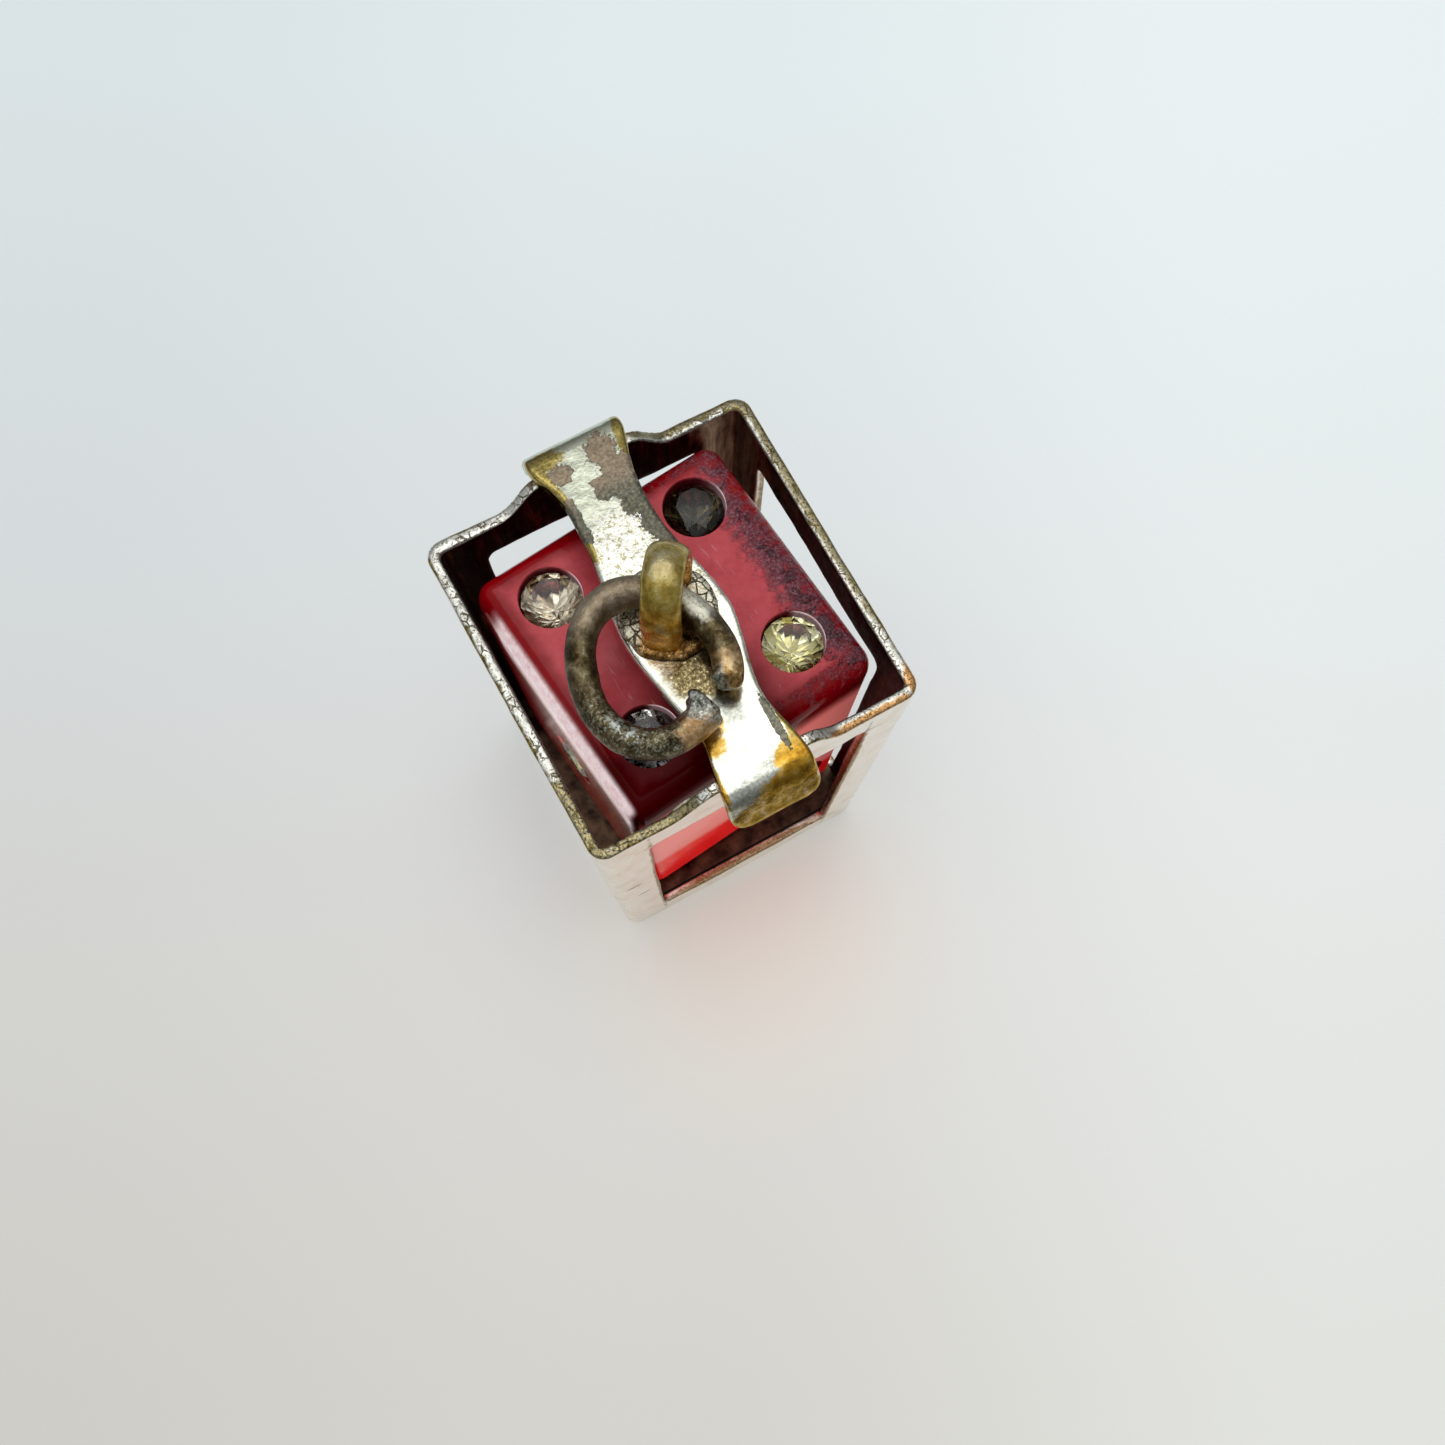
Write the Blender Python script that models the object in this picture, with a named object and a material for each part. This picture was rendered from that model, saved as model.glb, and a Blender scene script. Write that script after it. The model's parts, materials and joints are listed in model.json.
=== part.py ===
"""Caged rhinestone die charm.

A loose red die with a rhinestone in every pip sits inside a small square cage of sheet metal.
A bow-tie strap closes the top, a wire loop stands on the strap, and a split jump ring hangs in
the loop. Metres, +Z up, origin in the middle of the cage's base. +X runs along the near panel
to the right, and +Y runs from the near panel to the far one, the way the strap lies.
"""

import math

import bmesh
import bpy
from mathutils import Matrix, Vector

MM = 0.001

# cage
CAGE = 14.0 * MM  # outer side of the square band, and height of its plain rims
SHEET = 0.48 * MM
CORNER_OUT = 0.7 * MM  # bend radius outside
CORNER_IN = 0.22 * MM
POST = 2.17 * MM  # width of the metal left at each side of a window
SILL = 1.45 * MM  # height of the bottom rail
HEAD = 1.32 * MM  # height of the top rail
WINDOW_ROUND = 0.3 * MM
HUMP = 0.8 * MM  # how far the near and far rims rise to carry the strap
HUMP_TOP = 1.9 * MM  # half the width of the raised part
HUMP_FOOT_LEFT = 3.8 * MM
HUMP_FOOT_RIGHT = 3.5 * MM
PLATE = 0.55 * MM
PLATE_TOP = 1.65 * MM
PLATE_GAP = 0.04 * MM

# strap
STRAP = 0.52 * MM
STRAP_GAP = 0.03 * MM  # solder film between the strap and the humps
STRAP_NEAR = 7.08 * MM  # where the flat top ends and the bends start
STRAP_FAR = 6.86 * MM
STRAP_BEND = 0.95 * MM  # outer radius of the bends
STRAP_FOLD = math.radians(52.0)  # how far both ends are turned down
STRAP_LIP_NEAR = 1.04 * MM  # straight part after each bend
STRAP_LIP_FAR = 1.4 * MM
STRAP_OUTLINE = [  # (y, left edge, right edge) in mm: two flared ends, two waists and a disc
    (-8.5, -1.98, 1.84),
    (-7.5, -1.95, 1.72),
    (-6.8, -1.86, 1.64),
    (-6.15, -1.75, 1.51),
    (-5.2, -1.57, 1.29),
    (-4.4, -1.67, 1.25),
    (-3.4, -1.86, 1.42),
    (-2.4, -2.04, 1.69),
    (-1.3, -2.2, 1.91),
    (-0.4, -2.24, 1.87),
    (0.5, -2.14, 1.71),
    (1.6, -1.9, 1.46),
    (2.8, -1.73, 1.26),
    (4.0, -1.67, 1.23),
    (5.0, -1.64, 1.31),
    (5.8, -1.8, 1.49),
    (6.4, -2.08, 1.69),
    (7.0, -2.18, 1.82),
    (8.3, -2.08, 1.85),
]
TIP_ROUND = 0.55 * MM
STRAP_EDGE = 0.14 * MM  # rounding of the strap's long edges

# loop and jump ring
PAD = 1.84 * MM  # radius of the solder pad under the loop
PAD_HIGH = 0.22 * MM
PAD_EDGE = 0.08 * MM
JOINT_GAP = 0.02 * MM
LOOP_X = -0.33 * MM
LOOP_Y = -0.45 * MM
LOOP_TURN = math.radians(53.0)  # direction of the loop's plane from +X
LOOP_OUT = 1.62 * MM  # outer radius of the arch
LOOP_THICK = 0.7 * MM
LOOP_WIDE = 1.42 * MM
LOOP_LEG = 0.95 * MM  # straight part of each leg above the pad
LOOP_SQUARE = 0.8  # the bar's section: 1 would be an ellipse, 0 a rectangle
RING_WIRE = 0.55 * MM  # radius
RING = 2.59 * MM  # mean mid-line radius
RING_OVAL = 0.13 * MM  # the ring is bent slightly oval, and a little three-cornered
RING_LOBE = 0.095 * MM
RING_LOBE_AT = math.radians(54.0)
RING_REACH = 2.53 * MM  # from the loop to the middle of the ring
RING_LEVEL = 1.01 * MM  # height of the wire's middle above the strap, inside the loop
RING_TURN = math.radians(229.6)  # direction from the loop to the middle of the ring
RING_PITCH = math.radians(5.8)  # slope down to where the ring lies on the strap
RING_END_OUT = math.radians(86.0)  # the two ends of the split wire, seen from the ring's middle
RING_END_IN = math.radians(70.0)
RING_TUCK = 0.5 * MM  # how far the second end is bent inwards

# die
DIE = 11.55 * MM
DIE_ROUND = 0.8 * MM
DIE_X = 0.17 * MM
DIE_Y = 0.22 * MM
DIE_TURN = math.radians(5.6)
DIE_GAP = 0.05 * MM  # under the lowest stones
TOP_PIPS_X = 0.03 * MM  # the top face's pips sit a little off its middle
TOP_PIPS_Y = 0.14 * MM
PIP_STEP = 3.38 * MM
RECESS = 1.2 * MM
RECESS_WALL = 0.6 * MM
RECESS_DEEP = 1.85 * MM
STONE = 1.12 * MM
STONE_PROUD = 0.1 * MM  # how far a stone's table stands above the face
STONE_CROWN = 0.4 * MM
STONE_GIRDLE = 0.06 * MM
STONE_PAVILION = 1.08 * MM
STONE_TABLE = 0.6  # table radius over girdle radius

RIM = CAGE
STRAP_UNDER = RIM + HUMP + STRAP_GAP
STRAP_TOP = STRAP_UNDER + STRAP
DIE_Z = PLATE_TOP + DIE_GAP + STONE_PROUD + DIE / 2
BIG = 3 * CAGE


def clear_scene():
    for old in list(bpy.data.objects):
        bpy.data.objects.remove(old, do_unlink=True)


def material(name, colour, metallic, roughness):
    made = bpy.data.materials.new(name)
    made.use_nodes = True
    shader = made.node_tree.nodes["Principled BSDF"]
    shader.inputs["Base Color"].default_value = (*colour, 1.0)
    shader.inputs["Metallic"].default_value = metallic
    shader.inputs["Roughness"].default_value = roughness
    return made


def add_object(name, bm, finish=None, smooth=math.radians(35)):
    bmesh.ops.recalc_face_normals(bm, faces=bm.faces)
    mesh = bpy.data.meshes.new(name)
    bm.to_mesh(mesh)
    bm.free()
    mesh.shade_smooth()
    mesh.set_sharp_from_angle(angle=smooth)
    made = bpy.data.objects.new(name, mesh)
    bpy.context.collection.objects.link(made)
    if finish:
        mesh.materials.append(finish)
    return made


def cutter(name, bm):
    made = add_object(name, bm)
    made.hide_render = True
    made.display_type = "WIRE"
    return made


def cut(target, tool):
    step = target.modifiers.new("cut_" + tool.name, "BOOLEAN")
    step.operation = "DIFFERENCE"
    step.object = tool


def rounded_rectangle(half_x, half_y, radius, steps, centre=(0.0, 0.0)):
    """Outline points of a rectangle with round corners, counter-clockwise."""
    points = []
    for turn, (sx, sy) in enumerate([(1, 1), (-1, 1), (-1, -1), (1, -1)]):
        for step in range(steps + 1):
            angle = math.pi / 2 * (turn + step / steps)
            x = centre[0] + sx * (half_x - radius) + radius * math.cos(angle)
            y = centre[1] + sy * (half_y - radius) + radius * math.sin(angle)
            points.append((x, y))
    return points


def prism(points, place, low, high):
    """A closed prism. place(u, v, w) gives the 3-D point, and w runs from low to high."""
    bm = bmesh.new()
    start = [bm.verts.new(place(u, v, low)) for u, v in points]
    end = [bm.verts.new(place(u, v, high)) for u, v in points]
    bm.faces.new(start)
    bm.faces.new(end)
    count = len(points)
    for i in range(count):
        j = (i + 1) % count
        bm.faces.new([start[i], start[j], end[j], end[i]])
    return bm


def loft(rings, closed=False):
    """Joins rings of points into a tube, with flat caps unless it closes on itself."""
    bm = bmesh.new()
    loops = [[bm.verts.new(point) for point in ring] for ring in rings]
    count = len(rings[0])
    pairs = list(zip(loops, loops[1:]))
    if closed:
        pairs.append((loops[-1], loops[0]))
    for first, second in pairs:
        for i in range(count):
            j = (i + 1) % count
            bm.faces.new([first[i], first[j], second[j], second[i]])
    if not closed:
        bm.faces.new(loops[0])
        bm.faces.new(loops[-1])
    return bm


def wire_ring(centre, side, up, radius, sides):
    """One cross-section of a round wire."""
    points = []
    for i in range(sides):
        angle = 2 * math.pi * i / sides
        points.append(centre + radius * (math.cos(angle) * side + math.sin(angle) * up))
    return points


def blend(value, start, end):
    """0 at start, 1 at end, with a smooth S between them."""
    t = min(1.0, max(0.0, (value - start) / (end - start)))
    return 0.5 - 0.5 * math.cos(math.pi * t)


def rim_height(x):
    """Height of the near and far rims, which sweep up to the strap."""
    foot = HUMP_FOOT_LEFT if x < 0 else HUMP_FOOT_RIGHT
    return RIM + HUMP * (1.0 - blend(abs(x), HUMP_TOP, foot))


def add_band(finish):
    """The cage's four walls: one strip bent round, with a window in every panel."""
    half = CAGE / 2
    top = RIM + 2 * HUMP
    outline = rounded_rectangle(half, half, CORNER_OUT, 5)
    band = add_object("side_band", prism(outline, lambda u, v, w: (u, v, w), 0.0, top), finish)

    inner = rounded_rectangle(half - SHEET, half - SHEET, CORNER_IN, 2)
    hollow = prism(inner, lambda u, v, w: (u, v, w), -CAGE, 2 * CAGE)
    cut(band, cutter("band_hollow", hollow))

    window = rounded_rectangle(
        half - POST,
        (RIM - HEAD - SILL) / 2,
        WINDOW_ROUND,
        3,
        centre=(0.0, (RIM - HEAD + SILL) / 2),
    )
    along_y = prism(window, lambda u, v, w: (u, w, v), -CAGE, CAGE)
    cut(band, cutter("windows_near_far", along_y))
    along_x = prism(window, lambda u, v, w: (w, u, v), -CAGE, CAGE)
    cut(band, cutter("windows_left_right", along_x))

    ramp = 8
    xs = [-CAGE, -HUMP_FOOT_LEFT]
    for i in range(1, ramp + 1):
        xs.append(-HUMP_FOOT_LEFT + (HUMP_FOOT_LEFT - HUMP_TOP) * i / ramp)
    for i in range(ramp + 1):
        xs.append(HUMP_TOP + (HUMP_FOOT_RIGHT - HUMP_TOP) * i / ramp)
    xs.append(CAGE)
    profile = [(x, rim_height(x)) for x in xs] + [(CAGE, BIG), (-CAGE, BIG)]
    trim = prism(profile, lambda u, v, w: (u, w, v), -CAGE, CAGE)
    cut(band, cutter("rim_trim", trim))


def add_plate(finish):
    """The floor of the cage, let into the band level with the window sills."""
    half = CAGE / 2 - SHEET - PLATE_GAP
    outline = rounded_rectangle(half, half, CORNER_IN, 2)
    plate = prism(outline, lambda u, v, w: (u, v, w), PLATE_TOP - PLATE, PLATE_TOP)
    add_object("base_plate", plate, finish)


def strap_edges(y):
    """The x of the strap's left and right edges, on smooth curves through the outline."""
    rows = [tuple(value * MM for value in row) for row in STRAP_OUTLINE]
    y = min(max(y, rows[0][0]), rows[-1][0])
    i = max(1, min(len(rows) - 1, sum(row[0] < y for row in rows)))
    before, start, end, after = rows[max(i - 2, 0)], rows[i - 1], rows[i], rows[min(i + 1, len(rows) - 1)]
    span = end[0] - start[0]
    t = (y - start[0]) / span
    edges = []
    for k in (1, 2):
        slope_in = (end[k] - before[k]) / (end[0] - before[0]) * span
        slope_out = (after[k] - start[k]) / (after[0] - start[0]) * span
        rise = end[k] - start[k]
        square = 3 * rise - 2 * slope_in - slope_out
        cube = slope_in + slope_out - 2 * rise
        edges.append(start[k] + t * (slope_in + t * (square + t * cube)))
    return edges


def strap_stations(crest, lip):
    """Half of the strap's mid-line from the middle outwards: (y, z, lean, distance to the tip)."""
    mid = STRAP_BEND - STRAP / 2
    z_mid = STRAP_TOP - STRAP / 2
    stations = []
    flat = 20
    for i in range(flat + 1):
        stations.append((crest * i / flat, z_mid, 0.0, lip))
    bend = 6
    for i in range(1, bend + 1):
        lean = STRAP_FOLD * i / bend
        y = crest + mid * math.sin(lean)
        stations.append((y, z_mid - mid * (1 - math.cos(lean)), lean, lip))
    y_fold, z_fold = stations[-1][:2]
    curve = 5
    for i in range(curve + 1):
        left = TIP_ROUND * (1 - math.sin(math.pi / 2 * i / curve * 0.96))
        run = lip - left
        stations.append((y_fold + run * math.cos(STRAP_FOLD), z_fold - run * math.sin(STRAP_FOLD), STRAP_FOLD, left))
    return stations


def strap_section(y, z, lean, left_over, side):
    """A flat bar's cross-section with rounded edges, at one station of the strap."""
    left, right = strap_edges(side * y)
    half = (right - left) / 2
    if left_over < TIP_ROUND:
        half -= TIP_ROUND - math.sqrt(TIP_ROUND**2 - (TIP_ROUND - left_over) ** 2)
    out = Vector((0.0, side * math.sin(lean), math.cos(lean)))
    centre = Vector(((left + right) / 2, side * y, z))
    e = STRAP_EDGE
    h = STRAP / 2
    corner = e * (1 - math.sqrt(0.5))
    upper = [(half - e, h), (half - corner, h - corner), (half, h - e)]
    lower = [(half, -h + e), (half - corner, -h + corner), (half - e, -h)]
    quarter = upper + lower
    outline = quarter + [(-a, b) for a, b in reversed(quarter)]
    return [centre + Vector((a, 0.0, 0.0)) + b * out for a, b in outline]


def add_strap(finish):
    """The bow-tie strap: flat over the top, with both ends turned down over the rails."""
    far = [strap_section(*station, 1) for station in strap_stations(STRAP_FAR, STRAP_LIP_FAR)]
    near = [strap_section(*station, -1) for station in strap_stations(STRAP_NEAR, STRAP_LIP_NEAR)[1:]]
    add_object("top_strap", loft(list(reversed(near)) + far), finish)


def rounded_bar(centre, across, out, half_wide, half_thick, sides):
    """One cross-section of a flat bar whose edges are well rounded."""
    points = []
    for i in range(sides):
        angle = 2 * math.pi * (i + 0.5) / sides
        a = math.copysign(abs(math.cos(angle)) ** LOOP_SQUARE, math.cos(angle))
        b = math.copysign(abs(math.sin(angle)) ** LOOP_SQUARE, math.sin(angle))
        points.append(centre + half_wide * a * across + half_thick * b * out)
    return points


def add_loop(finish, solder):
    """The upright loop of flattened wire, and the round pad of solder it stands on."""
    up = Vector((0.0, 0.0, 1.0))
    along = Vector((math.cos(LOOP_TURN), math.sin(LOOP_TURN), 0.0))
    across = up.cross(along)
    middle = Vector((LOOP_X, LOOP_Y, STRAP_TOP + JOINT_GAP))
    foot = middle + (PAD_HIGH + JOINT_GAP) * up
    crown = foot + LOOP_LEG * up
    radius = LOOP_OUT - LOOP_THICK / 2
    sides = 14
    size = (LOOP_WIDE / 2, LOOP_THICK / 2, sides)
    rings = [rounded_bar(foot + radius * along, across, along, *size)]
    steps = 18
    for i in range(steps + 1):
        angle = math.pi * i / steps
        out = math.cos(angle) * along + math.sin(angle) * up
        rings.append(rounded_bar(crown + radius * out, across, out, *size))
    rings.append(rounded_bar(foot - radius * along, across, -along, *size))
    add_object("hanging_loop", loft(rings), finish)

    shoulder = (PAD - PAD_EDGE, PAD_HIGH)
    pad = turned([(0.0, 0.0), (PAD, 0.0), (PAD, PAD_HIGH - PAD_EDGE), shoulder, (0.0, PAD_HIGH)], 28)
    pad.transform(Matrix.Translation(middle))
    add_object("loop_solder", pad, solder)


def add_jump_ring(finish):
    """The split ring, threaded through the loop and leaning on the strap."""
    sides = 12
    steps = 44
    hinge = Matrix.Translation((LOOP_X, LOOP_Y, STRAP_TOP + RING_LEVEL))
    place = hinge @ Matrix.Rotation(RING_TURN, 4, "Z") @ Matrix.Rotation(RING_PITCH, 4, "Y")
    middle = Vector((RING_REACH, 0.0, 0.0))
    up = Vector((0.0, 0.0, 1.0))
    sweep = 2 * math.pi + RING_END_IN - RING_END_OUT
    rings = []
    for i in range(steps + 1):
        share = i / steps
        angle = RING_END_OUT + sweep * share
        oval = RING_OVAL * math.sin(2 * angle) - RING_LOBE * math.sin(3 * angle - RING_LOBE_AT)
        reach = RING + oval - RING_TUCK * share**16
        out = Vector((math.cos(angle), math.sin(angle), 0.0))
        rings.append(wire_ring(middle + reach * out, out, up, RING_WIRE, sides))
    ring = loft(rings)
    ring.transform(place)
    add_object("jump_ring", ring, finish)


def pip_layout(count):
    """Pip positions on a face, in steps from its middle."""
    centre = [(0, 0)]
    slope = [(-1, 1), (1, -1)]
    other = [(1, 1), (-1, -1)]
    sides = [(-1, 0), (1, 0)]
    return {
        1: centre,
        2: slope,
        3: centre + slope,
        4: slope + other,
        5: centre + slope + other,
        6: slope + other + sides,
    }[count]


def die_faces():
    """Each face's name, number, outward normal and first in-plane direction."""
    x = Vector((1, 0, 0))
    y = Vector((0, 1, 0))
    z = Vector((0, 0, 1))
    return [
        ("top", 5, z, x),
        ("bottom", 2, -z, x),
        ("near", 3, -y, x),
        ("far", 4, y, -x),
        ("right", 6, x, y),
        ("left", 1, -x, -y),
    ]


def pip_places():
    """Name and placement of every pip. Local +Z points out of the die's face."""
    turn = Matrix.Translation((DIE_X, DIE_Y, DIE_Z)) @ Matrix.Rotation(DIE_TURN, 4, "Z")
    places = []
    for face, count, normal, u in die_faces():
        v = normal.cross(u)
        axes = Matrix((u, v, normal)).transposed().to_4x4()
        for i, (a, b) in enumerate(pip_layout(count), start=1):
            spot = PIP_STEP * (a * u + b * v) + DIE / 2 * normal
            if face == "top":
                spot += Vector((TOP_PIPS_X, TOP_PIPS_Y, 0.0))
            places.append((f"{face}_{i}", turn @ Matrix.Translation(spot) @ axes))
    return turn, places


def turned(profile, sides, start=0.0):
    """A closed solid of revolution about Z from (radius, z) points that start and end at radius 0."""
    bm = bmesh.new()
    rows = []
    for radius, z in profile:
        if radius == 0.0:
            rows.append([bm.verts.new((0.0, 0.0, z))])
            continue
        row = []
        for i in range(sides):
            angle = start + 2 * math.pi * i / sides
            row.append(bm.verts.new((radius * math.cos(angle), radius * math.sin(angle), z)))
        rows.append(row)
    for first, second in zip(rows, rows[1:]):
        for i in range(sides):
            j = (i + 1) % sides
            if len(first) == 1:
                bm.faces.new([first[0], second[i], second[j]])
            elif len(second) == 1:
                bm.faces.new([first[i], first[j], second[0]])
            else:
                bm.faces.new([first[i], first[j], second[j], second[i]])
    return bm


def add_die(finish, glass, dark_glass):
    """The loose die and the stone in each of its 21 recesses."""
    turn, places = pip_places()
    bm = bmesh.new()
    bmesh.ops.create_cube(bm, size=DIE, matrix=turn)
    bmesh.ops.bevel(
        bm,
        geom=list(bm.edges),
        offset=DIE_ROUND,
        offset_type="OFFSET",
        segments=3,
        profile=0.5,
        affect="EDGES",
    )
    die = add_object("die", bm, finish, smooth=math.radians(40))

    recesses = bmesh.new()
    hole = [(0.0, MM), (RECESS, MM), (RECESS, -RECESS_WALL), (0.0, -RECESS_DEEP)]
    for _, place in places:
        drill = turned(hole, 18)
        drill.transform(place)
        mesh = bpy.data.meshes.new("drill")
        drill.to_mesh(mesh)
        drill.free()
        recesses.from_mesh(mesh)
        bpy.data.meshes.remove(mesh)
    cut(die, cutter("pip_recesses", recesses))

    girdle = STONE_PROUD - STONE_CROWN
    under = girdle - STONE_GIRDLE
    profile = [
        (0.0, STONE_PROUD),
        (STONE * STONE_TABLE, STONE_PROUD),
        (STONE, girdle),
        (STONE, under),
        (0.0, under - STONE_PAVILION),
    ]
    for name, place in places:
        stone = turned(profile, 12)
        stone.transform(place)
        add_object("stone_" + name, stone, dark_glass if name == "top_4" else glass, smooth=0.1)


def main():
    clear_scene()
    silver = material("worn_silver_plate", (0.62, 0.58, 0.47), 1.0, 0.35)
    brass = material("brassy_wire", (0.5, 0.36, 0.14), 1.0, 0.35)
    tarnish = material("tarnished_wire", (0.28, 0.24, 0.18), 1.0, 0.45)
    copper = material("solder", (0.55, 0.3, 0.12), 1.0, 0.35)
    red = material("red_plastic", (0.42, 0.01, 0.02), 0.0, 0.2)
    glass = material("foiled_glass", (0.75, 0.72, 0.55), 0.0, 0.05)
    dark_glass = material("blackened_glass", (0.05, 0.05, 0.05), 0.0, 0.2)
    add_band(silver)
    add_plate(silver)
    add_strap(silver)
    add_loop(brass, copper)
    add_jump_ring(tarnish)
    add_die(red, glass, dark_glass)


main()
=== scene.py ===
"""The looks of the caged rhinestone die charm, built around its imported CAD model.

Lengths in the tables below are in millimetres, in the CAD frame: +Z up, +Y along the strap away
from the camera, +X to the right along the near panel.
"""

import json
import math
import random

import bmesh
import bpy
import numpy as np
from mathutils import Euler, Matrix, Vector, noise


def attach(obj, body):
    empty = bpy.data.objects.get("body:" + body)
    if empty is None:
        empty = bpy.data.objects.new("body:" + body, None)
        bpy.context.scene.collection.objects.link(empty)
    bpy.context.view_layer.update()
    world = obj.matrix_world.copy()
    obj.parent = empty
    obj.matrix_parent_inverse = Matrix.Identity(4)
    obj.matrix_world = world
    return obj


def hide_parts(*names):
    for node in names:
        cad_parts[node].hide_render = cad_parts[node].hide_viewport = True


MM = 0.001
UP = Vector((0.0, 0.0, 1.0))

# Sizes. The recesses and the stones are drawn a little wider than the CAD model has them.
STRAP_TOP = 15.35
LOOP = {"x": -0.33, "y": -0.45, "turn": 53.0, "out": 1.62, "thick": 0.7, "wide": 1.42, "leg": 0.95}
PAD = {"radius": 1.84, "high": 0.22, "gap": 0.02}
RING = {"radius": 2.59, "oval": 0.13, "lobe": 0.095, "lobe_at": 54.0, "wire": 0.55}
RING_PLACE = {"reach": 2.53, "turn": 229.6, "pitch": 5.8}
RING_ENDS = {"out": 86.0, "in": 70.0, "tuck": 0.5, "cap": 0.35}
TORN_END = {"wider": 0.7, "thicker": 0.25, "lift": 0.12, "reach": 1.4, "lumps": 0.3}
END_PATCHES = {"crumbly": 1.95, "brassy": 2.7}  # how far they are from the middle of the ring
DIE = {"side": 11.55, "round": 0.8, "x": 0.17, "y": 0.22, "z": 7.575, "turn": 5.6, "step": 3.38}
TOP_PIPS = Vector((0.03, 0.14, 0.0))
RECESS = {"radius": 1.26, "wall": 0.6, "deep": 1.85, "lip": 0.04, "clear": 1.0}
STONE = {"radius": 1.22, "proud": 0.1, "crown": 0.4, "girdle": 0.06, "pavilion": 1.15}
CUT = {"table": 0.6, "crown": 0.82, "back": 0.3}  # corners of the facets, in shares of the radius

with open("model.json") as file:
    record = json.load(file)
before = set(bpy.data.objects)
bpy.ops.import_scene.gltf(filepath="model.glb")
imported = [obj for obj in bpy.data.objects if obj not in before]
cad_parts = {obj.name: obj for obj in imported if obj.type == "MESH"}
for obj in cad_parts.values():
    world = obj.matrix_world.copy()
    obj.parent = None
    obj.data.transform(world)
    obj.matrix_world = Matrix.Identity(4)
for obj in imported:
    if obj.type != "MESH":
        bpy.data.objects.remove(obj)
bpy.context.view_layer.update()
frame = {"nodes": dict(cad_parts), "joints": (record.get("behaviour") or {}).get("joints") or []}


# ---------------------------------------------------------------- mesh helpers


def add_piece(name, mesh, body, replaced, finish, place=None):
    """Links a finished mesh, gives it its material, puts it under its body and hides the CAD parts
    it stands for.
    """
    piece = bpy.data.objects.new(name, mesh)
    bpy.context.scene.collection.objects.link(piece)
    mesh.materials.clear()
    for one in finish:
        mesh.materials.append(one)
    if place is not None:
        piece.matrix_world = place
    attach(piece, body)
    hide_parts(*replaced)
    return piece


def with_modifiers(mesh, *steps):
    """The mesh after some modifiers, each given as (type, settings)."""
    holder = bpy.data.objects.new("holder", mesh)
    bpy.context.scene.collection.objects.link(holder)
    for kind, settings in steps:
        step = holder.modifiers.new(kind, kind)
        for key, value in settings.items():
            setattr(step, key, value)
    depsgraph = bpy.context.evaluated_depsgraph_get()
    result = bpy.data.meshes.new_from_object(holder.evaluated_get(depsgraph))
    bpy.data.objects.remove(holder)
    return result


def cad_copy(node):
    """A copy of a CAD node's mesh with its split vertices joined again."""
    bm = bmesh.new()
    bm.from_mesh(frame["nodes"][node].data)
    bmesh.ops.remove_doubles(bm, verts=bm.verts, dist=0.0005 * MM)
    mesh = bpy.data.meshes.new(node + "_fine")
    bm.to_mesh(mesh)
    bm.free()
    return mesh


def remeshed(mesh, voxel, smooth):
    """A dense even skin over a mesh, smoothed a little so that its edges are worn round."""
    return with_modifiers(
        mesh,
        ("REMESH", {"mode": "VOXEL", "voxel_size": voxel * MM, "use_smooth_shade": True}),
        ("SMOOTH", {"factor": 0.5, "iterations": smooth}),
    )


def positions(mesh):
    """Where the vertices are, one row each."""
    co = np.empty(len(mesh.vertices) * 3, np.float32)
    mesh.vertices.foreach_get("co", co)
    return co.reshape(-1, 3).astype(float) / MM


def normals(mesh):
    """Which way the surface faces at each vertex, one row each."""
    co = np.empty(len(mesh.vertices) * 3, np.float32)
    mesh.vertices.foreach_get("normal", co)
    return co.reshape(-1, 3).astype(float)


def move_to(mesh, points):
    """Puts the vertices at those points."""
    mesh.vertices.foreach_set("co", (points * MM).astype(np.float32).ravel())
    mesh.update()


def wander(points, size, seed):
    """Smooth noise of about that size at each point, from -1 to 1."""
    shift = Vector((17.3 * seed, -9.1 * seed, 5.7 * seed))
    return np.array([noise.noise(Vector(p) / size + shift) for p in points])


def roughen(mesh, *layers):
    """Pushes the surface in and out by layers of noise, each (size, height, seed)."""
    points = positions(mesh)
    out = normals(mesh)
    push = np.zeros(len(points))
    for size, height, seed in layers:
        push += height * wander(points, size, seed)
    move_to(mesh, points + out * push[:, None])


def field(mesh, name, blobs):
    """Stores a soft map on the mesh: 1 in the middle of a blob, 0 on its edge, below 0 outside.

    A blob is (centre, half sizes). The material adds noise to the map before it cuts it off.
    """
    points = positions(mesh)
    value = np.full(len(points), -1.0)
    for centre, half in blobs:
        away = (((points - centre) / half) ** 2).sum(1)
        value = np.maximum(value, 1.0 - np.sqrt(away))
    layer = mesh.attributes.new(name, "FLOAT", "POINT")
    layer.data.foreach_set("value", value.astype(np.float32))


def loft(rings):
    """A tube through rings of points, closed at both ends."""
    bm = bmesh.new()
    rows = [[bm.verts.new(Vector(p) * MM) for p in ring] for ring in rings]
    count = len(rows[0])
    for first, second in zip(rows, rows[1:]):
        for i in range(count):
            j = (i + 1) % count
            bm.faces.new([first[i], first[j], second[j], second[i]])
    bm.faces.new(rows[0])
    bm.faces.new(rows[-1])
    bmesh.ops.recalc_face_normals(bm, faces=bm.faces)
    return bm


def to_mesh(bm, name, sharp=180.0):
    """Turns a bmesh into a smooth mesh that keeps edges sharper than that many degrees."""
    mesh = bpy.data.meshes.new(name)
    bm.to_mesh(mesh)
    bm.free()
    mesh.shade_smooth()
    mesh.set_sharp_from_angle(angle=math.radians(sharp))
    return mesh


# ------------------------------------------------------------ material helpers


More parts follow.
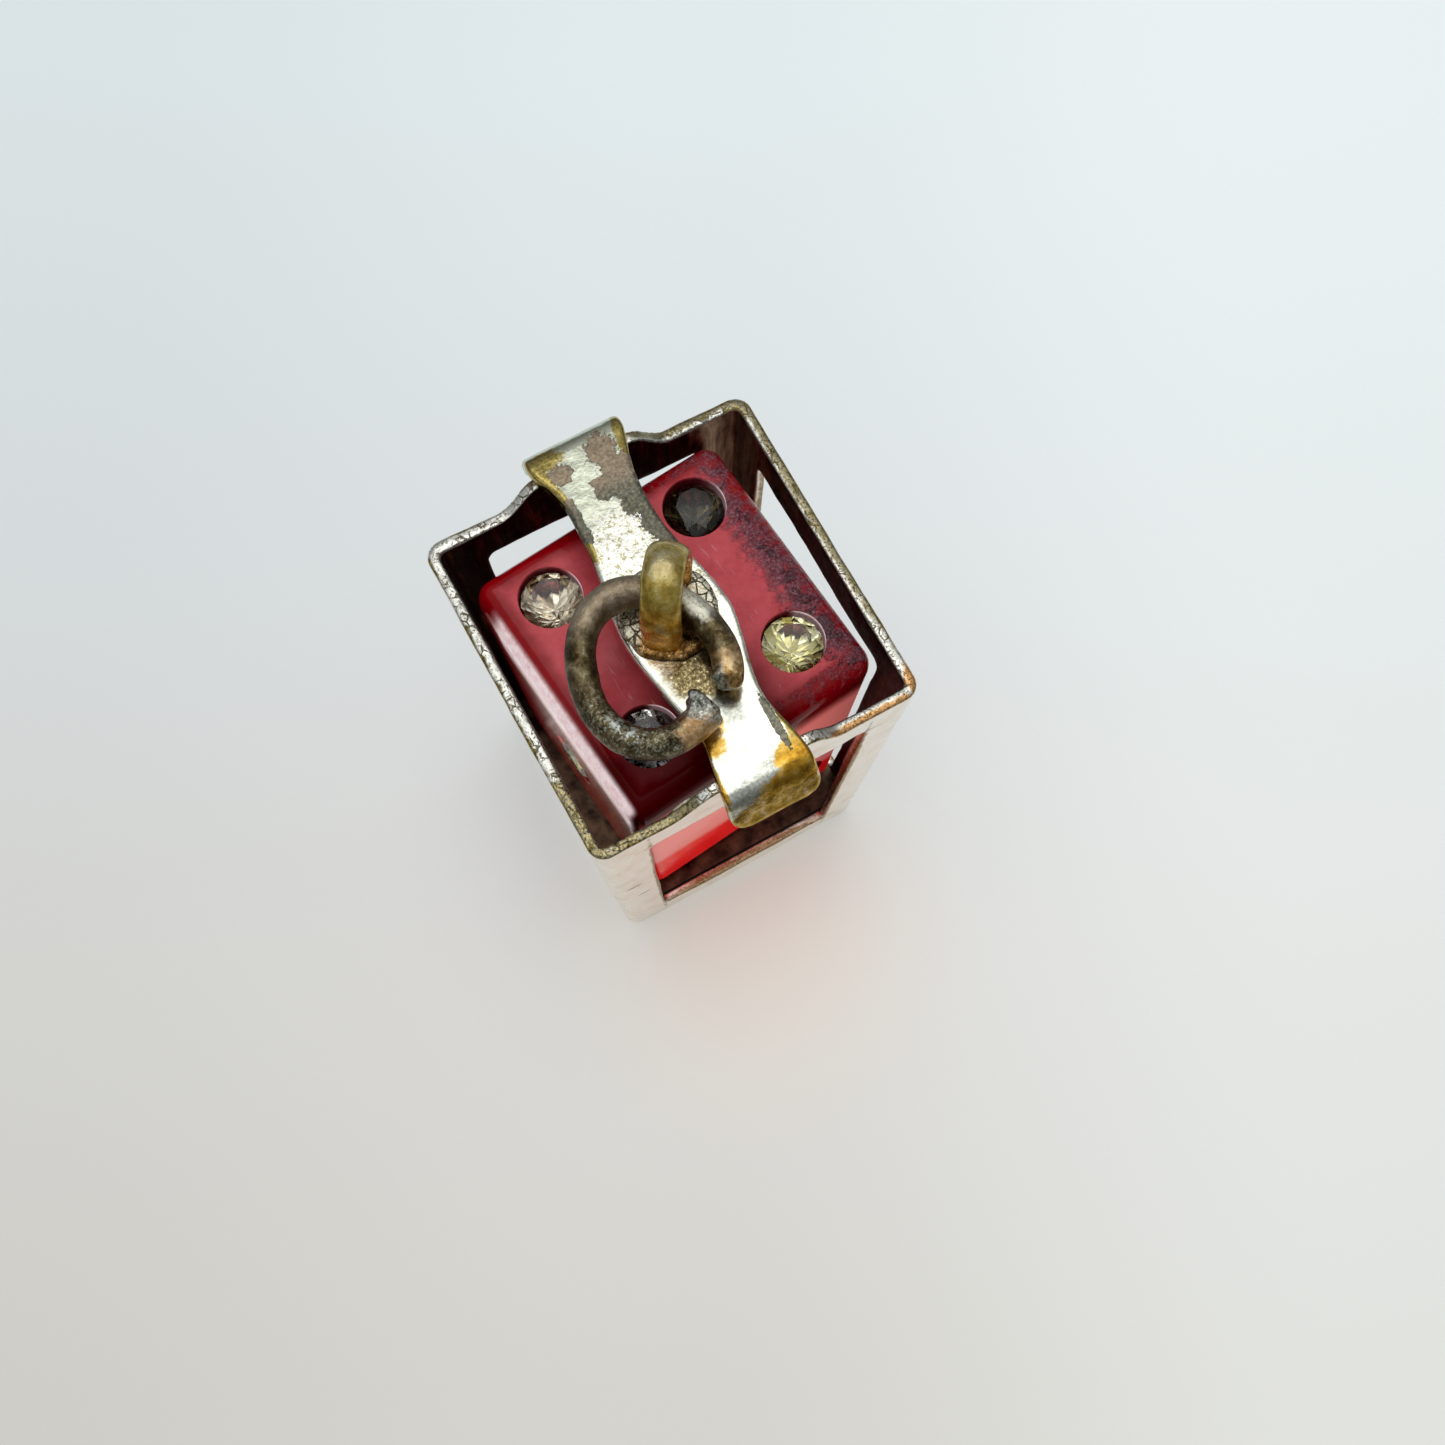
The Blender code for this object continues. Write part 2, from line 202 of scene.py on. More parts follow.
def set_stops(ramp, stops):
    """Gives a colour ramp its stops, each (position, colour)."""
    while len(ramp.elements) < len(stops):
        ramp.elements.new(1.0)
    for point, (position, colour) in zip(ramp.elements, stops):
        point.position = position
        point.color = (*colour, 1.0)


class Paint:
    """Short calls that build one material's nodes. Values may be numbers, colours or sockets."""

    def __init__(self, name, **shader):
        self.material = bpy.data.materials.new(name)
        self.material.use_nodes = True
        self.tree = self.material.node_tree
        self.shader = self.tree.nodes["Principled BSDF"]
        for key, value in shader.items():
            self.set(self.shader.inputs[key.replace("_", " ")], value)
        coordinates = self.node("TexCoord")
        self.place = self.vector("SCALE", coordinates.outputs["Object"], scale=1 / MM)
        self.normal = coordinates.outputs["Normal"]

    def node(self, kind):
        return self.tree.nodes.new("ShaderNode" + kind)

    def set(self, socket, value):
        """Links a socket to another one, or sets its number or colour."""
        if isinstance(value, bpy.types.NodeSocket):
            self.tree.links.new(value, socket)
        elif isinstance(value, tuple) and len(value) == 3 and socket.type == "RGBA":
            socket.default_value = (*value, 1.0)
        else:
            socket.default_value = value

    def vector(self, operation, a, b=None, scale=None):
        node = self.node("VectorMath")
        node.operation = operation
        self.set(node.inputs[0], a)
        if b is not None:
            self.set(node.inputs[1], b)
        if scale is not None:
            node.inputs["Scale"].default_value = scale
        return node.outputs["Value" if operation in ("DOT_PRODUCT", "LENGTH") else "Vector"]

    def axes(self, vector):
        node = self.node("SeparateXYZ")
        self.set(node.inputs[0], vector)
        return node.outputs[0], node.outputs[1], node.outputs[2]

    def maths(self, operation, a, b=0.0, c=0.0):
        node = self.node("Math")
        node.operation = operation
        for socket, value in zip(node.inputs, (a, b, c)):
            self.set(socket, value)
        return node.outputs[0]

    def times(self, a, b):
        return self.maths("MULTIPLY", a, b)

    def scaled(self, a, b, c):
        """a times b, plus c."""
        return self.maths("MULTIPLY_ADD", a, b, c)

    def step(self, value, start, end):
        """0 at start and 1 at end, smooth between them."""
        node = self.node("MapRange")
        node.interpolation_type = "SMOOTHSTEP"
        self.set(node.inputs["Value"], value)
        node.inputs["From Min"].default_value = min(start, end)
        node.inputs["From Max"].default_value = max(start, end)
        node.inputs["To Min"].default_value = 0.0 if start < end else 1.0
        node.inputs["To Max"].default_value = 1.0 if start < end else 0.0
        return node.outputs["Result"]

    def noise(self, size, detail=3.0, rough=0.55, stretch=(1.0, 1.0, 1.0), warp=0.0, shift=0.0):
        """Noise with features of about that many millimetres, from 0 to 1."""
        spot = self.vector("MULTIPLY", self.place, tuple(s / size for s in stretch))
        spot = self.vector("ADD", spot, (shift, 2 * shift, -shift))
        node = self.node("TexNoise")
        self.set(node.inputs["Vector"], spot)
        node.inputs["Scale"].default_value = 1.0
        node.inputs["Detail"].default_value = detail
        node.inputs["Roughness"].default_value = rough
        node.inputs["Distortion"].default_value = warp
        return node.outputs["Fac"]

    def cells(self, size):
        """How far it is to the edge of irregular cells of about that many millimetres."""
        spot = self.vector("MULTIPLY", self.place, (1.0 / size, 1.0 / size, 1.0 / size))
        node = self.node("TexVoronoi")
        node.feature = "DISTANCE_TO_EDGE"
        self.set(node.inputs["Vector"], spot)
        node.inputs["Scale"].default_value = 1.0
        return node.outputs["Distance"]

    def map(self, name):
        """A soft map stored on the mesh by field()."""
        node = self.node("Attribute")
        node.attribute_name = name
        return node.outputs["Fac"]

    def patch(self, name, size, wild, soft):
        """A map with a ragged edge: wild sets how far noise moves it, soft how wide it fades."""
        ragged = self.maths("SUBTRACT", self.noise(size, 5.0, 0.6), 0.5)
        value = self.maths("MULTIPLY_ADD", ragged, wild, self.map(name))
        return self.step(value, -soft, soft)

    def ramp(self, value, *stops):
        """Colours along a value from 0 to 1, each stop (position, colour)."""
        node = self.node("ValToRGB")
        self.set(node.inputs[0], value)
        set_stops(node.color_ramp, stops)
        return node.outputs["Color"]

    def mix(self, share, a, b):
        """Goes from colour a to colour b with the share."""
        node = self.node("Mix")
        node.data_type = "RGBA"
        self.set(node.inputs["Factor"], share)
        self.set(node.inputs[6], a)
        self.set(node.inputs[7], b)
        return node.outputs[2]

    def between(self, share, a, b):
        """A number that goes from a to b with the share."""
        return self.maths("MULTIPLY_ADD", share, b - a, a)

    def colour(self, socket):
        self.set(self.shader.inputs["Base Color"], socket)

    def roughness(self, socket):
        self.set(self.shader.inputs["Roughness"], socket)

    def relief(self, *layers):
        """Bumps, each (height from 0 to 1, how deep 1 is in millimetres)."""
        last = None
        for height, deep in layers:
            node = self.node("Bump")
            node.inputs["Strength"].default_value = 1.0
            node.inputs["Distance"].default_value = deep * MM
            self.set(node.inputs["Height"], height)
            if last is not None:
                self.set(node.inputs["Normal"], last)
            last = node.outputs["Normal"]
        self.set(self.shader.inputs["Normal"], last)


# ---------------------------------------------------------------- the finishes

OLIVE = (0.40, 0.31, 0.09)
OLIVE_DARK = (0.17, 0.13, 0.035)
SOOT = (0.020, 0.013, 0.009)
COPPER = (0.66, 0.36, 0.14)


def band_finish():
    """Satin plate outside, worn bright rims with olive outer edges, and dark tarnish inside."""
    paint = Paint("band_plate", Metallic=1.0)
    x, y, z = paint.axes(paint.place)
    nz = paint.axes(paint.normal)[2]
    out = paint.maths("MAXIMUM", paint.maths("ABSOLUTE", x), paint.maths("ABSOLUTE", y))
    up = paint.step(nz, 0.3, 0.75)
    rim = paint.times(up, paint.step(z, 13.0, 13.4))
    inward = paint.times(paint.step(out, 6.72, 6.58), paint.maths("SUBTRACT", 1.0, up))

    coarse = paint.noise(0.9, 4.0, 0.6)
    fine = paint.noise(0.14, 5.0, 0.7)
    satin = paint.ramp(
        coarse, (0.3, (0.84, 0.75, 0.65)), (0.5, (0.93, 0.87, 0.79)), (0.7, (0.96, 0.92, 0.86))
    )
    soiled = paint.step(paint.noise(0.5, 5.0, 0.7, shift=3.0), 0.6, 0.72)
    satin = paint.mix(paint.times(soiled, 0.25), satin, (0.35, 0.28, 0.2))

    worn_by = paint.noise(0.7, 4.0, 0.65, shift=11.0)
    cracks = paint.step(paint.scaled(fine, 0.22, paint.cells(0.42)), 0.19, 0.12)
    cracks = paint.times(cracks, paint.step(worn_by, 0.46, 0.58))
    pits = paint.step(paint.noise(0.10, 4.0, 0.75, shift=8.0), 0.56, 0.66)
    scrapes = paint.noise(0.16, 4.0, 0.7, stretch=(1.0, 0.3, 1.0), warp=1.5, shift=4.0)
    scrapes = paint.step(scrapes, 0.52, 0.62)
    bright = paint.ramp(worn_by, (0.3, (0.70, 0.69, 0.62)), (0.6, (0.86, 0.86, 0.80)))
    bright = paint.mix(paint.times(scrapes, 0.5), bright, (0.34, 0.32, 0.24))
    bright = paint.mix(pits, bright, (0.20, 0.17, 0.11))
    bright = paint.mix(cracks, bright, (0.14, 0.11, 0.06))
    lean = paint.scaled(coarse, 0.62, out)
    gold = paint.ramp(
        fine, (0.38, (0.10, 0.075, 0.02)), (0.58, (0.30, 0.23, 0.065)), (0.78, (0.44, 0.37, 0.17))
    )
    top = paint.mix(paint.step(lean, 7.18, 7.27), bright, gold)
    inner = paint.step(paint.scaled(fine, 0.2, out), 6.70, 6.64)
    top = paint.mix(paint.times(inner, 0.8), top, (0.07, 0.05, 0.025))
    grimy = paint.patch("grimy", 0.35, 1.3, 0.18)
    grime = paint.ramp(fine, (0.4, (0.04, 0.03, 0.015)), (0.6, OLIVE))
    top = paint.mix(paint.times(grimy, 0.85), top, grime)
    golden = paint.patch("golden", 0.4, 1.2, 0.2)
    top = paint.mix(paint.times(golden, 0.8), top, gold)
    coppery = paint.patch("coppery", 0.4, 1.0, 0.2)
    copper = paint.ramp(fine, (0.32, (0.20, 0.12, 0.05)), (0.55, COPPER), (0.75, (0.85, 0.6, 0.38)))
    top = paint.mix(coppery, top, copper)

    streak = paint.noise(0.5, 6.0, 0.7, stretch=(1.0, 1.0, 0.22), warp=0.8, shift=5.0)
    soot = paint.ramp(
        streak,
        (0.42, (0.010, 0.006, 0.004)),
        (0.56, (0.035, 0.011, 0.006)),
        (0.68, (0.15, 0.045, 0.016)),
        (0.8, (0.35, 0.17, 0.09)),
    )
    light = paint.patch("tan", 0.6, 1.2, 0.4)
    tan = paint.ramp(
        streak, (0.35, (0.13, 0.06, 0.035)), (0.5, (0.36, 0.22, 0.14)), (0.7, (0.62, 0.47, 0.36))
    )
    soot = paint.mix(light, soot, tan)

    colour = paint.mix(rim, satin, top)
    colour = paint.mix(inward, colour, soot)
    edge = paint.patch("edges", 0.3, 0.9, 0.25)
    edged = paint.times(edge, paint.maths("SUBTRACT", 1.0, inward))
    brown = paint.ramp(fine, (0.35, (0.16, 0.09, 0.04)), (0.6, (0.45, 0.32, 0.18)))
    colour = paint.mix(edged, colour, brown)
    colour = paint.mix(paint.patch("nicks", 0.1, 0.3, 0.12), colour, SOOT)
    paint.colour(colour)
    paint.roughness(paint.scaled(inward, 0.1, paint.between(fine, 0.2, 0.4)))
    flaws = paint.times(paint.maths("MAXIMUM", pits, cracks), rim)
    whole = paint.maths("SUBTRACT", 1.0, flaws)
    paint.relief((paint.noise(0.5, 3.0), 0.03), (whole, 0.014), (fine, 0.014))
    return paint.material


def strap_finish():
    """Pale plate with crisp tarnish islands, a sparkling worn middle and olive and copper ends,
    with a painted greyer reflection towards the far end and painted shade around the ring.
    """
    paint = Paint("strap_plate", Metallic=1.0)
    _, y, z = paint.axes(paint.place)
    nz = paint.axes(paint.normal)[2]
    fine = paint.noise(0.13, 5.0, 0.7)
    mid = paint.noise(0.42, 5.0, 0.6, shift=2.0)
    # Painted reflection: the plate is painted greyer towards the far end, where it mirrors a darker
    # part of the room.
    far = paint.step(y, 2.2, 4.6)
    silver = paint.ramp(
        mid, (0.34, (0.62, 0.63, 0.52)), (0.5, (0.80, 0.81, 0.70)), (0.66, (0.92, 0.93, 0.84))
    )
    far_dim_reflection = paint.ramp(mid, (0.3, (0.56, 0.585, 0.46)), (0.7, (0.70, 0.725, 0.60)))
    silver = paint.mix(far, silver, far_dim_reflection)

    speck = paint.noise(0.17, 5.0, 0.75, shift=4.0)
    sparkle = paint.ramp(
        speck, (0.40, (0.34, 0.28, 0.12)), (0.46, (0.90, 0.88, 0.70)), (0.52, (1.0, 1.0, 0.96))
    )
    sparkling = paint.patch("sparkling", 0.5, 0.9, 0.35)
    plate = paint.mix(paint.times(sparkling, 0.8), silver, sparkle)

    # Worn sandy plate beside the ring, also painted darker for the ring's shadow on it.
    grain = paint.noise(0.13, 5.0, 0.75, shift=6.0)
    dull_and_shaded = paint.ramp(
        grain,
        (0.40, (0.06, 0.042, 0.018)),
        (0.54, (0.22, 0.17, 0.08)),
        (0.63, (0.50, 0.43, 0.25)),
        (0.72, (0.9, 0.86, 0.66)),
    )
    plate = paint.mix(paint.patch("dull_and_shaded", 0.35, 0.9, 0.3), plate, dull_and_shaded)
    # Painted shade: grey shadowy patches beside the ring's torn end and where the near end bends
    # down.
    grey = paint.ramp(fine, (0.35, (0.30, 0.31, 0.27)), (0.65, (0.62, 0.63, 0.56)))
    plate = paint.mix(paint.patch("grey", 0.3, 1.2, 0.4), plate, grey)

    gold = paint.ramp(fine, (0.3, OLIVE_DARK), (0.5, OLIVE), (0.7, (0.52, 0.43, 0.2)))
    amber = paint.ramp(
        mid,
        (0.3, (0.24, 0.11, 0.012)),
        (0.5, (0.52, 0.29, 0.03)),
        (0.62, (0.70, 0.45, 0.12)),
        (0.75, (0.95, 0.8, 0.5)),
    )
    gold = paint.mix(paint.step(y, -6.2, -7.2), gold, amber)
    colour = paint.mix(paint.patch("golden", 0.4, 1.2, 0.12), plate, gold)
    # Copper ends, and in the same colour a painted shadow under the ring's torn end.
    copper = paint.ramp(
        mid,
        (0.35, (0.30, 0.17, 0.03)),
        (0.5, (0.50, 0.31, 0.06)),
        (0.62, (0.74, 0.50, 0.22)),
        (0.75, (0.95, 0.75, 0.5)),
    )
    colour = paint.mix(paint.patch("coppery", 0.4, 1.0, 0.15), colour, copper)

    brown = paint.ramp(
        fine, (0.3, (0.16, 0.12, 0.08)), (0.5, (0.30, 0.235, 0.165)), (0.72, (0.42, 0.36, 0.28))
    )
    slate = paint.ramp(
        fine,
        (0.3, (0.06, 0.055, 0.04)),
        (0.5, (0.15, 0.145, 0.115)),
        (0.68, (0.32, 0.29, 0.18)),
        (0.78, (0.6, 0.55, 0.35)),
    )
    stain = paint.mix(paint.step(paint.scaled(mid, 1.6, y), 6.4, 5.2), brown, slate)
    ragged = paint.maths("ADD", paint.noise(0.55, 6.0, 0.72, warp=0.6, shift=1.0), -0.5)
    ragged = paint.scaled(ragged, 1.9, paint.map("tarnish"))
    crumbs = paint.maths("ADD", paint.noise(0.16, 4.0, 0.7, shift=15.0), -0.5)
    tarnish = paint.step(paint.scaled(crumbs, 0.9, ragged), -0.05, 0.05)
    colour = paint.mix(tarnish, colour, stain)
    rim = paint.times(paint.step(nz, 0.82, 0.3), paint.step(z, 15.36, 14.9))
    grime = paint.ramp(fine, (0.35, (0.05, 0.035, 0.015)), (0.6, OLIVE))
    colour = paint.mix(paint.times(rim, 0.35), colour, grime)
    paint.colour(colour)
    rough = paint.between(fine, 0.12, 0.24)
    rough = paint.scaled(tarnish, 0.2, rough)
    rough = paint.scaled(sparkling, 0.06, rough)
    paint.roughness(rough)
    lift = paint.maths("SUBTRACT", 1.0, tarnish)
    pitted = paint.times(speck, paint.maths("MAXIMUM", sparkling, paint.map("dull_and_shaded")))
    paint.relief((mid, 0.014), (lift, 0.014), (pitted, 0.016), (fine, 0.004))
    return paint.material


def loop_finish():
    """Brassy wire: pale olive on the crown, amber and copper towards the foot."""
    paint = Paint("loop_brass", Metallic=0.7)
    z = paint.axes(paint.place)[2]
    mid = paint.noise(0.5, 5.0, 0.65)
    fine = paint.noise(0.1, 4.0, 0.7)
    height = paint.step(paint.scaled(mid, 1.2, z), 17.1, 18.4)
    low = paint.ramp(
        mid, (0.35, (0.38, 0.14, 0.008)), (0.52, (0.75, 0.34, 0.02)), (0.7, (1.0, 0.66, 0.22))
    )
    high = paint.ramp(
        mid, (0.35, (0.22, 0.14, 0.018)), (0.52, (0.42, 0.31, 0.06)), (0.72, (0.56, 0.50, 0.26))
    )
    colour = paint.mix(height, low, high)
    pale = paint.step(paint.scaled(mid, 0.6, z), 18.25, 18.6)
    colour = paint.mix(paint.times(pale, 0.7), colour, (0.52, 0.47, 0.32))
    dirt = paint.step(paint.noise(0.3, 5.0, 0.7, shift=7.0), 0.56, 0.7)
    paint.colour(paint.mix(paint.times(dirt, 0.65), colour, (0.10, 0.06, 0.02)))
    paint.roughness(paint.between(mid, 0.16, 0.34))
    paint.relief((mid, 0.035), (fine, 0.007))
    return paint.material


def solder_finish():
    """Crackled pale solder, dark in its cracks, with a dark copper lip on the near side."""
    paint = Paint("solder_pad", Metallic=1.0)
    fine = paint.noise(0.09, 4.0, 0.75)
    mid = paint.noise(0.4, 5.0, 0.65)
    crack = paint.step(paint.scaled(fine, 0.25, paint.cells(0.34)), 0.14, 0.22)
    pale = paint.ramp(
        fine, (0.3, (0.44, 0.38, 0.22)), (0.5, (0.78, 0.74, 0.56)), (0.65, (0.95, 0.94, 0.84))
    )
    colour = paint.mix(crack, (0.10, 0.075, 0.035), pale)
    copper = paint.ramp(
        mid,
        (0.38, (0.07, 0.035, 0.012)),
        (0.5, (0.32, 0.17, 0.05)),
        (0.6, (0.66, 0.40, 0.16)),
        (0.72, (1.0, 0.8, 0.5)),
    )
    colour = paint.mix(paint.patch("coppery", 0.3, 0.7, 0.3), colour, copper)
    paint.colour(colour)
    paint.roughness(paint.between(fine, 0.16, 0.36))
    paint.relief((mid, 0.03), (crack, 0.02), (fine, 0.02))
    return paint.material


def ring_finish():
    """Tarnished wire: dark brown, mottled grey-green, pale on the right, with brassy ends; the pale
    streak on the right and a lighter brownish patch at the top left are painted highlights.
    """
    paint = Paint("ring_wire", Metallic=1.0)
    mid = paint.noise(0.5, 6.0, 0.72)
    fine = paint.noise(0.12, 5.0, 0.75)
    colour = paint.ramp(
        mid,
        (0.34, (0.020, 0.014, 0.006)),
        (0.46, (0.075, 0.055, 0.025)),
        (0.56, (0.16, 0.125, 0.065)),
        (0.7, (0.38, 0.33, 0.21)),
    )
    # Painted highlight: a lighter brownish patch at the top left of the ring.
    tawny_highlight = paint.ramp(
        mid, (0.32, (0.12, 0.085, 0.05)), (0.5, (0.28, 0.22, 0.15)), (0.7, (0.46, 0.39, 0.28))
    )
    colour = paint.mix(paint.patch("tawny_highlight", 0.6, 0.8, 0.4), colour, tawny_highlight)
    mottled = paint.times(paint.step(fine, 0.5, 0.62), paint.patch("mottled", 0.6, 0.9, 0.4))
    grey = paint.ramp(mid, (0.35, (0.20, 0.20, 0.14)), (0.65, (0.50, 0.52, 0.44)))
    colour = paint.mix(mottled, colour, grey)
    blue = paint.step(paint.noise(0.25, 5.0, 0.75, shift=5.0), 0.5, 0.6)
    blue = paint.times(blue, paint.patch("bluish", 0.4, 0.8, 0.3))
    colour = paint.mix(blue, colour, (0.56, 0.62, 0.60))
    # Painted highlight: a pale streak on the right of the ring.
    pale = paint.ramp(
        fine, (0.3, (0.30, 0.27, 0.20)), (0.5, (0.66, 0.64, 0.53)), (0.7, (0.92, 0.91, 0.83))
    )
    colour = paint.mix(paint.patch("pale", 0.35, 1.0, 0.2), colour, pale)
    copper = paint.ramp(
        mid, (0.35, (0.16, 0.08, 0.03)), (0.5, (0.42, 0.25, 0.11)), (0.66, (0.8, 0.56, 0.3))
    )
    colour = paint.mix(paint.patch("coppery", 0.4, 1.1, 0.25), colour, copper)
    brass = paint.ramp(
        mid, (0.36, (0.10, 0.055, 0.02)), (0.48, (0.42, 0.26, 0.09)), (0.6, (0.95, 0.72, 0.42))
    )
    colour = paint.mix(paint.patch("brassy", 0.3, 0.9, 0.2), colour, brass)
    crumbs = paint.ramp(
        fine,
        (0.36, (0.04, 0.035, 0.025)),
        (0.48, (0.26, 0.26, 0.22)),
        (0.6, (0.66, 0.67, 0.62)),
        (0.7, (0.95, 0.95, 0.9)),
    )
    colour = paint.mix(paint.patch("crumbly", 0.25, 1.1, 0.2), colour, crumbs)
    paint.colour(colour)
    paint.roughness(paint.between(fine, 0.2, 0.42))
    paint.relief((mid, 0.05), (fine, 0.022))
    return paint.material


def die_finish():
    """Deep red plastic: rosy and satin on top under a painted sheen, painted shade towards the near
    end, scuffed on the right, and painted reflections that glow on the left edge and the near face.
    """
    paint = Paint("die_red", IOR=1.5)
    x, y, z = paint.axes(paint.place)
    nx, ny, _ = paint.axes(paint.normal)
    flat = DIE["side"] / 2 - DIE["round"]
    away = paint.maths("MAXIMUM", paint.maths("ABSOLUTE", x), paint.maths("ABSOLUTE", y))
    uneven = paint.scaled(paint.noise(0.9, 5.0, 0.65, shift=2.0), 0.5, away)
    high = paint.step(z, flat, DIE["side"] / 2 - 0.05)
    on_top = paint.times(high, paint.step(uneven, flat + 0.35, flat - 0.25))
    cloud = paint.noise(1.6, 5.0, 0.65)
    fine = paint.noise(0.12, 5.0, 0.7)
    red = paint.ramp(cloud, (0.3, (0.24, 0.0006, 0.003)), (0.7, (0.36, 0.0015, 0.006)))
    # Painted sheen: the top is painted lighter and rosy, standing for the bright room seen in its
    # worn, hazy satin.
    rose_sheen = paint.ramp(cloud, (0.3, (0.56, 0.045, 0.065)), (0.6, (0.70, 0.095, 0.115)))
    hazed_sheen = paint.times(on_top, paint.between(paint.noise(0.5, 5.0, 0.65, shift=3.0), 0.5, 1.2))
    colour = paint.mix(hazed_sheen, red, rose_sheen)
    # Painted shade: the near part of the top, in the shadow of the strap and the ring, is painted
    # very dark.
    along = paint.scaled(cloud, 1.2, y)
    near = paint.times(paint.step(along, -0.2, -3.4), paint.step(x, 3.2, 0.6))
    near = paint.times(near, paint.step(z, 2.6, 3.8))
    colour = paint.mix(paint.times(near, 0.85), colour, (0.05, 0.0004, 0.0008))

    scuff = paint.patch("scuffed", 0.45, 1.7, 0.35)
    worn = paint.ramp(
        fine, (0.32, (0.07, 0.01, 0.02)), (0.5, (0.19, 0.08, 0.105)), (0.68, (0.42, 0.27, 0.31))
    )
    colour = paint.mix(paint.times(scuff, 0.8), colour, worn)
    gouge = paint.step(paint.noise(0.8, 6.0, 0.75, warp=1.0, shift=12.0), 0.52, 0.58)
    gouged = paint.maths("ADD", paint.map("gouged"), paint.times(fine, 0.5))
    gouge = paint.times(gouge, paint.step(gouged, 0.1, 0.4))
    dirt = paint.ramp(fine, (0.4, (0.035, 0.018, 0.025)), (0.6, (0.16, 0.10, 0.12)))
    colour = paint.mix(paint.times(gouge, 0.8), colour, dirt)
    flake = paint.step(paint.noise(0.3, 5.0, 0.7, warp=2.5, shift=21.0), 0.62, 0.66)
    flake = paint.times(flake, scuff)
    colour = paint.mix(paint.times(flake, 0.6), colour, (0.55, 0.40, 0.43))
    lines = paint.noise(0.22, 2.0, 0.5, stretch=(1.0, 0.12, 1.0), warp=1.2, shift=9.0)
    scratch = paint.times(paint.step(lines, 0.68, 0.72), on_top)
    colour = paint.mix(paint.times(scratch, 0.35), colour, (0.7, 0.3, 0.32))

    # Painted reflection: a pale strip along the top of the left side, where the side mirrors the
    # bright floor; it glows too, below.
    side = paint.times(paint.step(nx, -0.4, -0.7), paint.step(z, 2.6, 4.7))
    painted_reflection = paint.times(side, paint.step(paint.scaled(cloud, 0.8, y), 4.9, 3.9))
    painted_reflection = paint.times(painted_reflection, paint.step(y, -5.5, -5.2))
    reflection_mottle = paint.noise(0.3, 5.0, 0.7, shift=1.0)
    reflection_colour = paint.ramp(reflection_mottle, (0.3, (0.62, 0.40, 0.42)), (0.6, (0.80, 0.66, 0.67)))
    colour = paint.mix(painted_reflection, colour, reflection_colour)
    # Painted shade: the walls of the top recesses, below the face, are painted nearly black.
    recess_shade = paint.times(paint.step(z, 5.76, 5.62), paint.step(away, 5.2, 5.0))
    colour = paint.mix(paint.times(recess_shade, 0.8), colour, (0.05, 0.001, 0.003))
    # Painted light: the near face is painted a brighter red, with a paler painted reflection of the
    # floor along its upper part.
    front = paint.times(paint.step(ny, -0.6, -0.9), paint.step(z, 4.9, 3.6))
    slope = paint.scaled(x, 0.14, z)
    lit_front_colour = paint.mix(paint.step(slope, -2.6, -1.9), (0.85, 0.008, 0.012), (0.88, 0.22, 0.20))
    colour = paint.mix(front, colour, lit_front_colour)
    paint.colour(colour)
    satin = paint.scaled(on_top, 0.16, paint.between(fine, 0.1, 0.18))
    paint.roughness(paint.scaled(scuff, 0.12, satin))
    # Less reflection where the near end is painted into shade.
    paint.set(paint.shader.inputs["Specular IOR Level"], paint.between(near, 0.22, 0.03))
    # Painted glow: the near face and the painted reflection on the left side give off light of
    # their own colour.
    paint.set(paint.shader.inputs["Emission Color"], colour)
    glow = paint.maths("MAXIMUM", paint.times(front, 0.3), paint.times(painted_reflection, 0.55))
    paint.set(paint.shader.inputs["Emission Strength"], glow)
    dents = paint.times(scuff, paint.noise(0.28, 5.0, 0.75, warp=1.0, shift=6.0))
    paint.relief((paint.noise(0.9, 3.0), 0.015), (dents, 0.16), (gouge, 0.04), (scratch, 0.004))
    return paint.material


def stone_finishes(name, glass, dark, light, haze):
    """The clear front of a stone, and the foil behind it, brighter on some facets than others."""
    front = Paint(name + "_glass", Transmission_Weight=1.0, IOR=1.5)
    cloudy = front.noise(0.7, 4.0, 0.6)
    front.colour(front.mix(cloudy, glass, tuple(0.94 * c for c in glass)))
    front.roughness(front.between(cloudy, 0.2 * haze, haze))
    back = Paint(name + "_foil", Metallic=1.0)
    blotch = back.step(back.noise(0.4, 5.0, 0.7, shift=2.0), 0.5, 0.66)
    middle = tuple((a + b) / 2 for a, b in zip(dark, light))
    facets = back.ramp(back.map("facet"), (0.15, dark), (0.5, middle), (0.8, light))
    back.colour(back.mix(back.times(blotch, 0.4), facets, dark))
    back.roughness(back.between(blotch, 0.08, 0.3))
    return [front.material, back.material]


def dark_plate_finish():
    """The floor of the cage: old plate, nearly black."""
    paint = Paint("plate_tarnish", Metallic=1.0)
    cloud = paint.noise(0.9, 5.0, 0.6)
    paint.colour(paint.ramp(cloud, (0.35, SOOT), (0.65, (0.12, 0.07, 0.045))))
    paint.roughness(paint.between(cloud, 0.3, 0.5))
    paint.relief((cloud, 0.02))
    return paint.material


# ------------------------------------------------------------------ the pieces


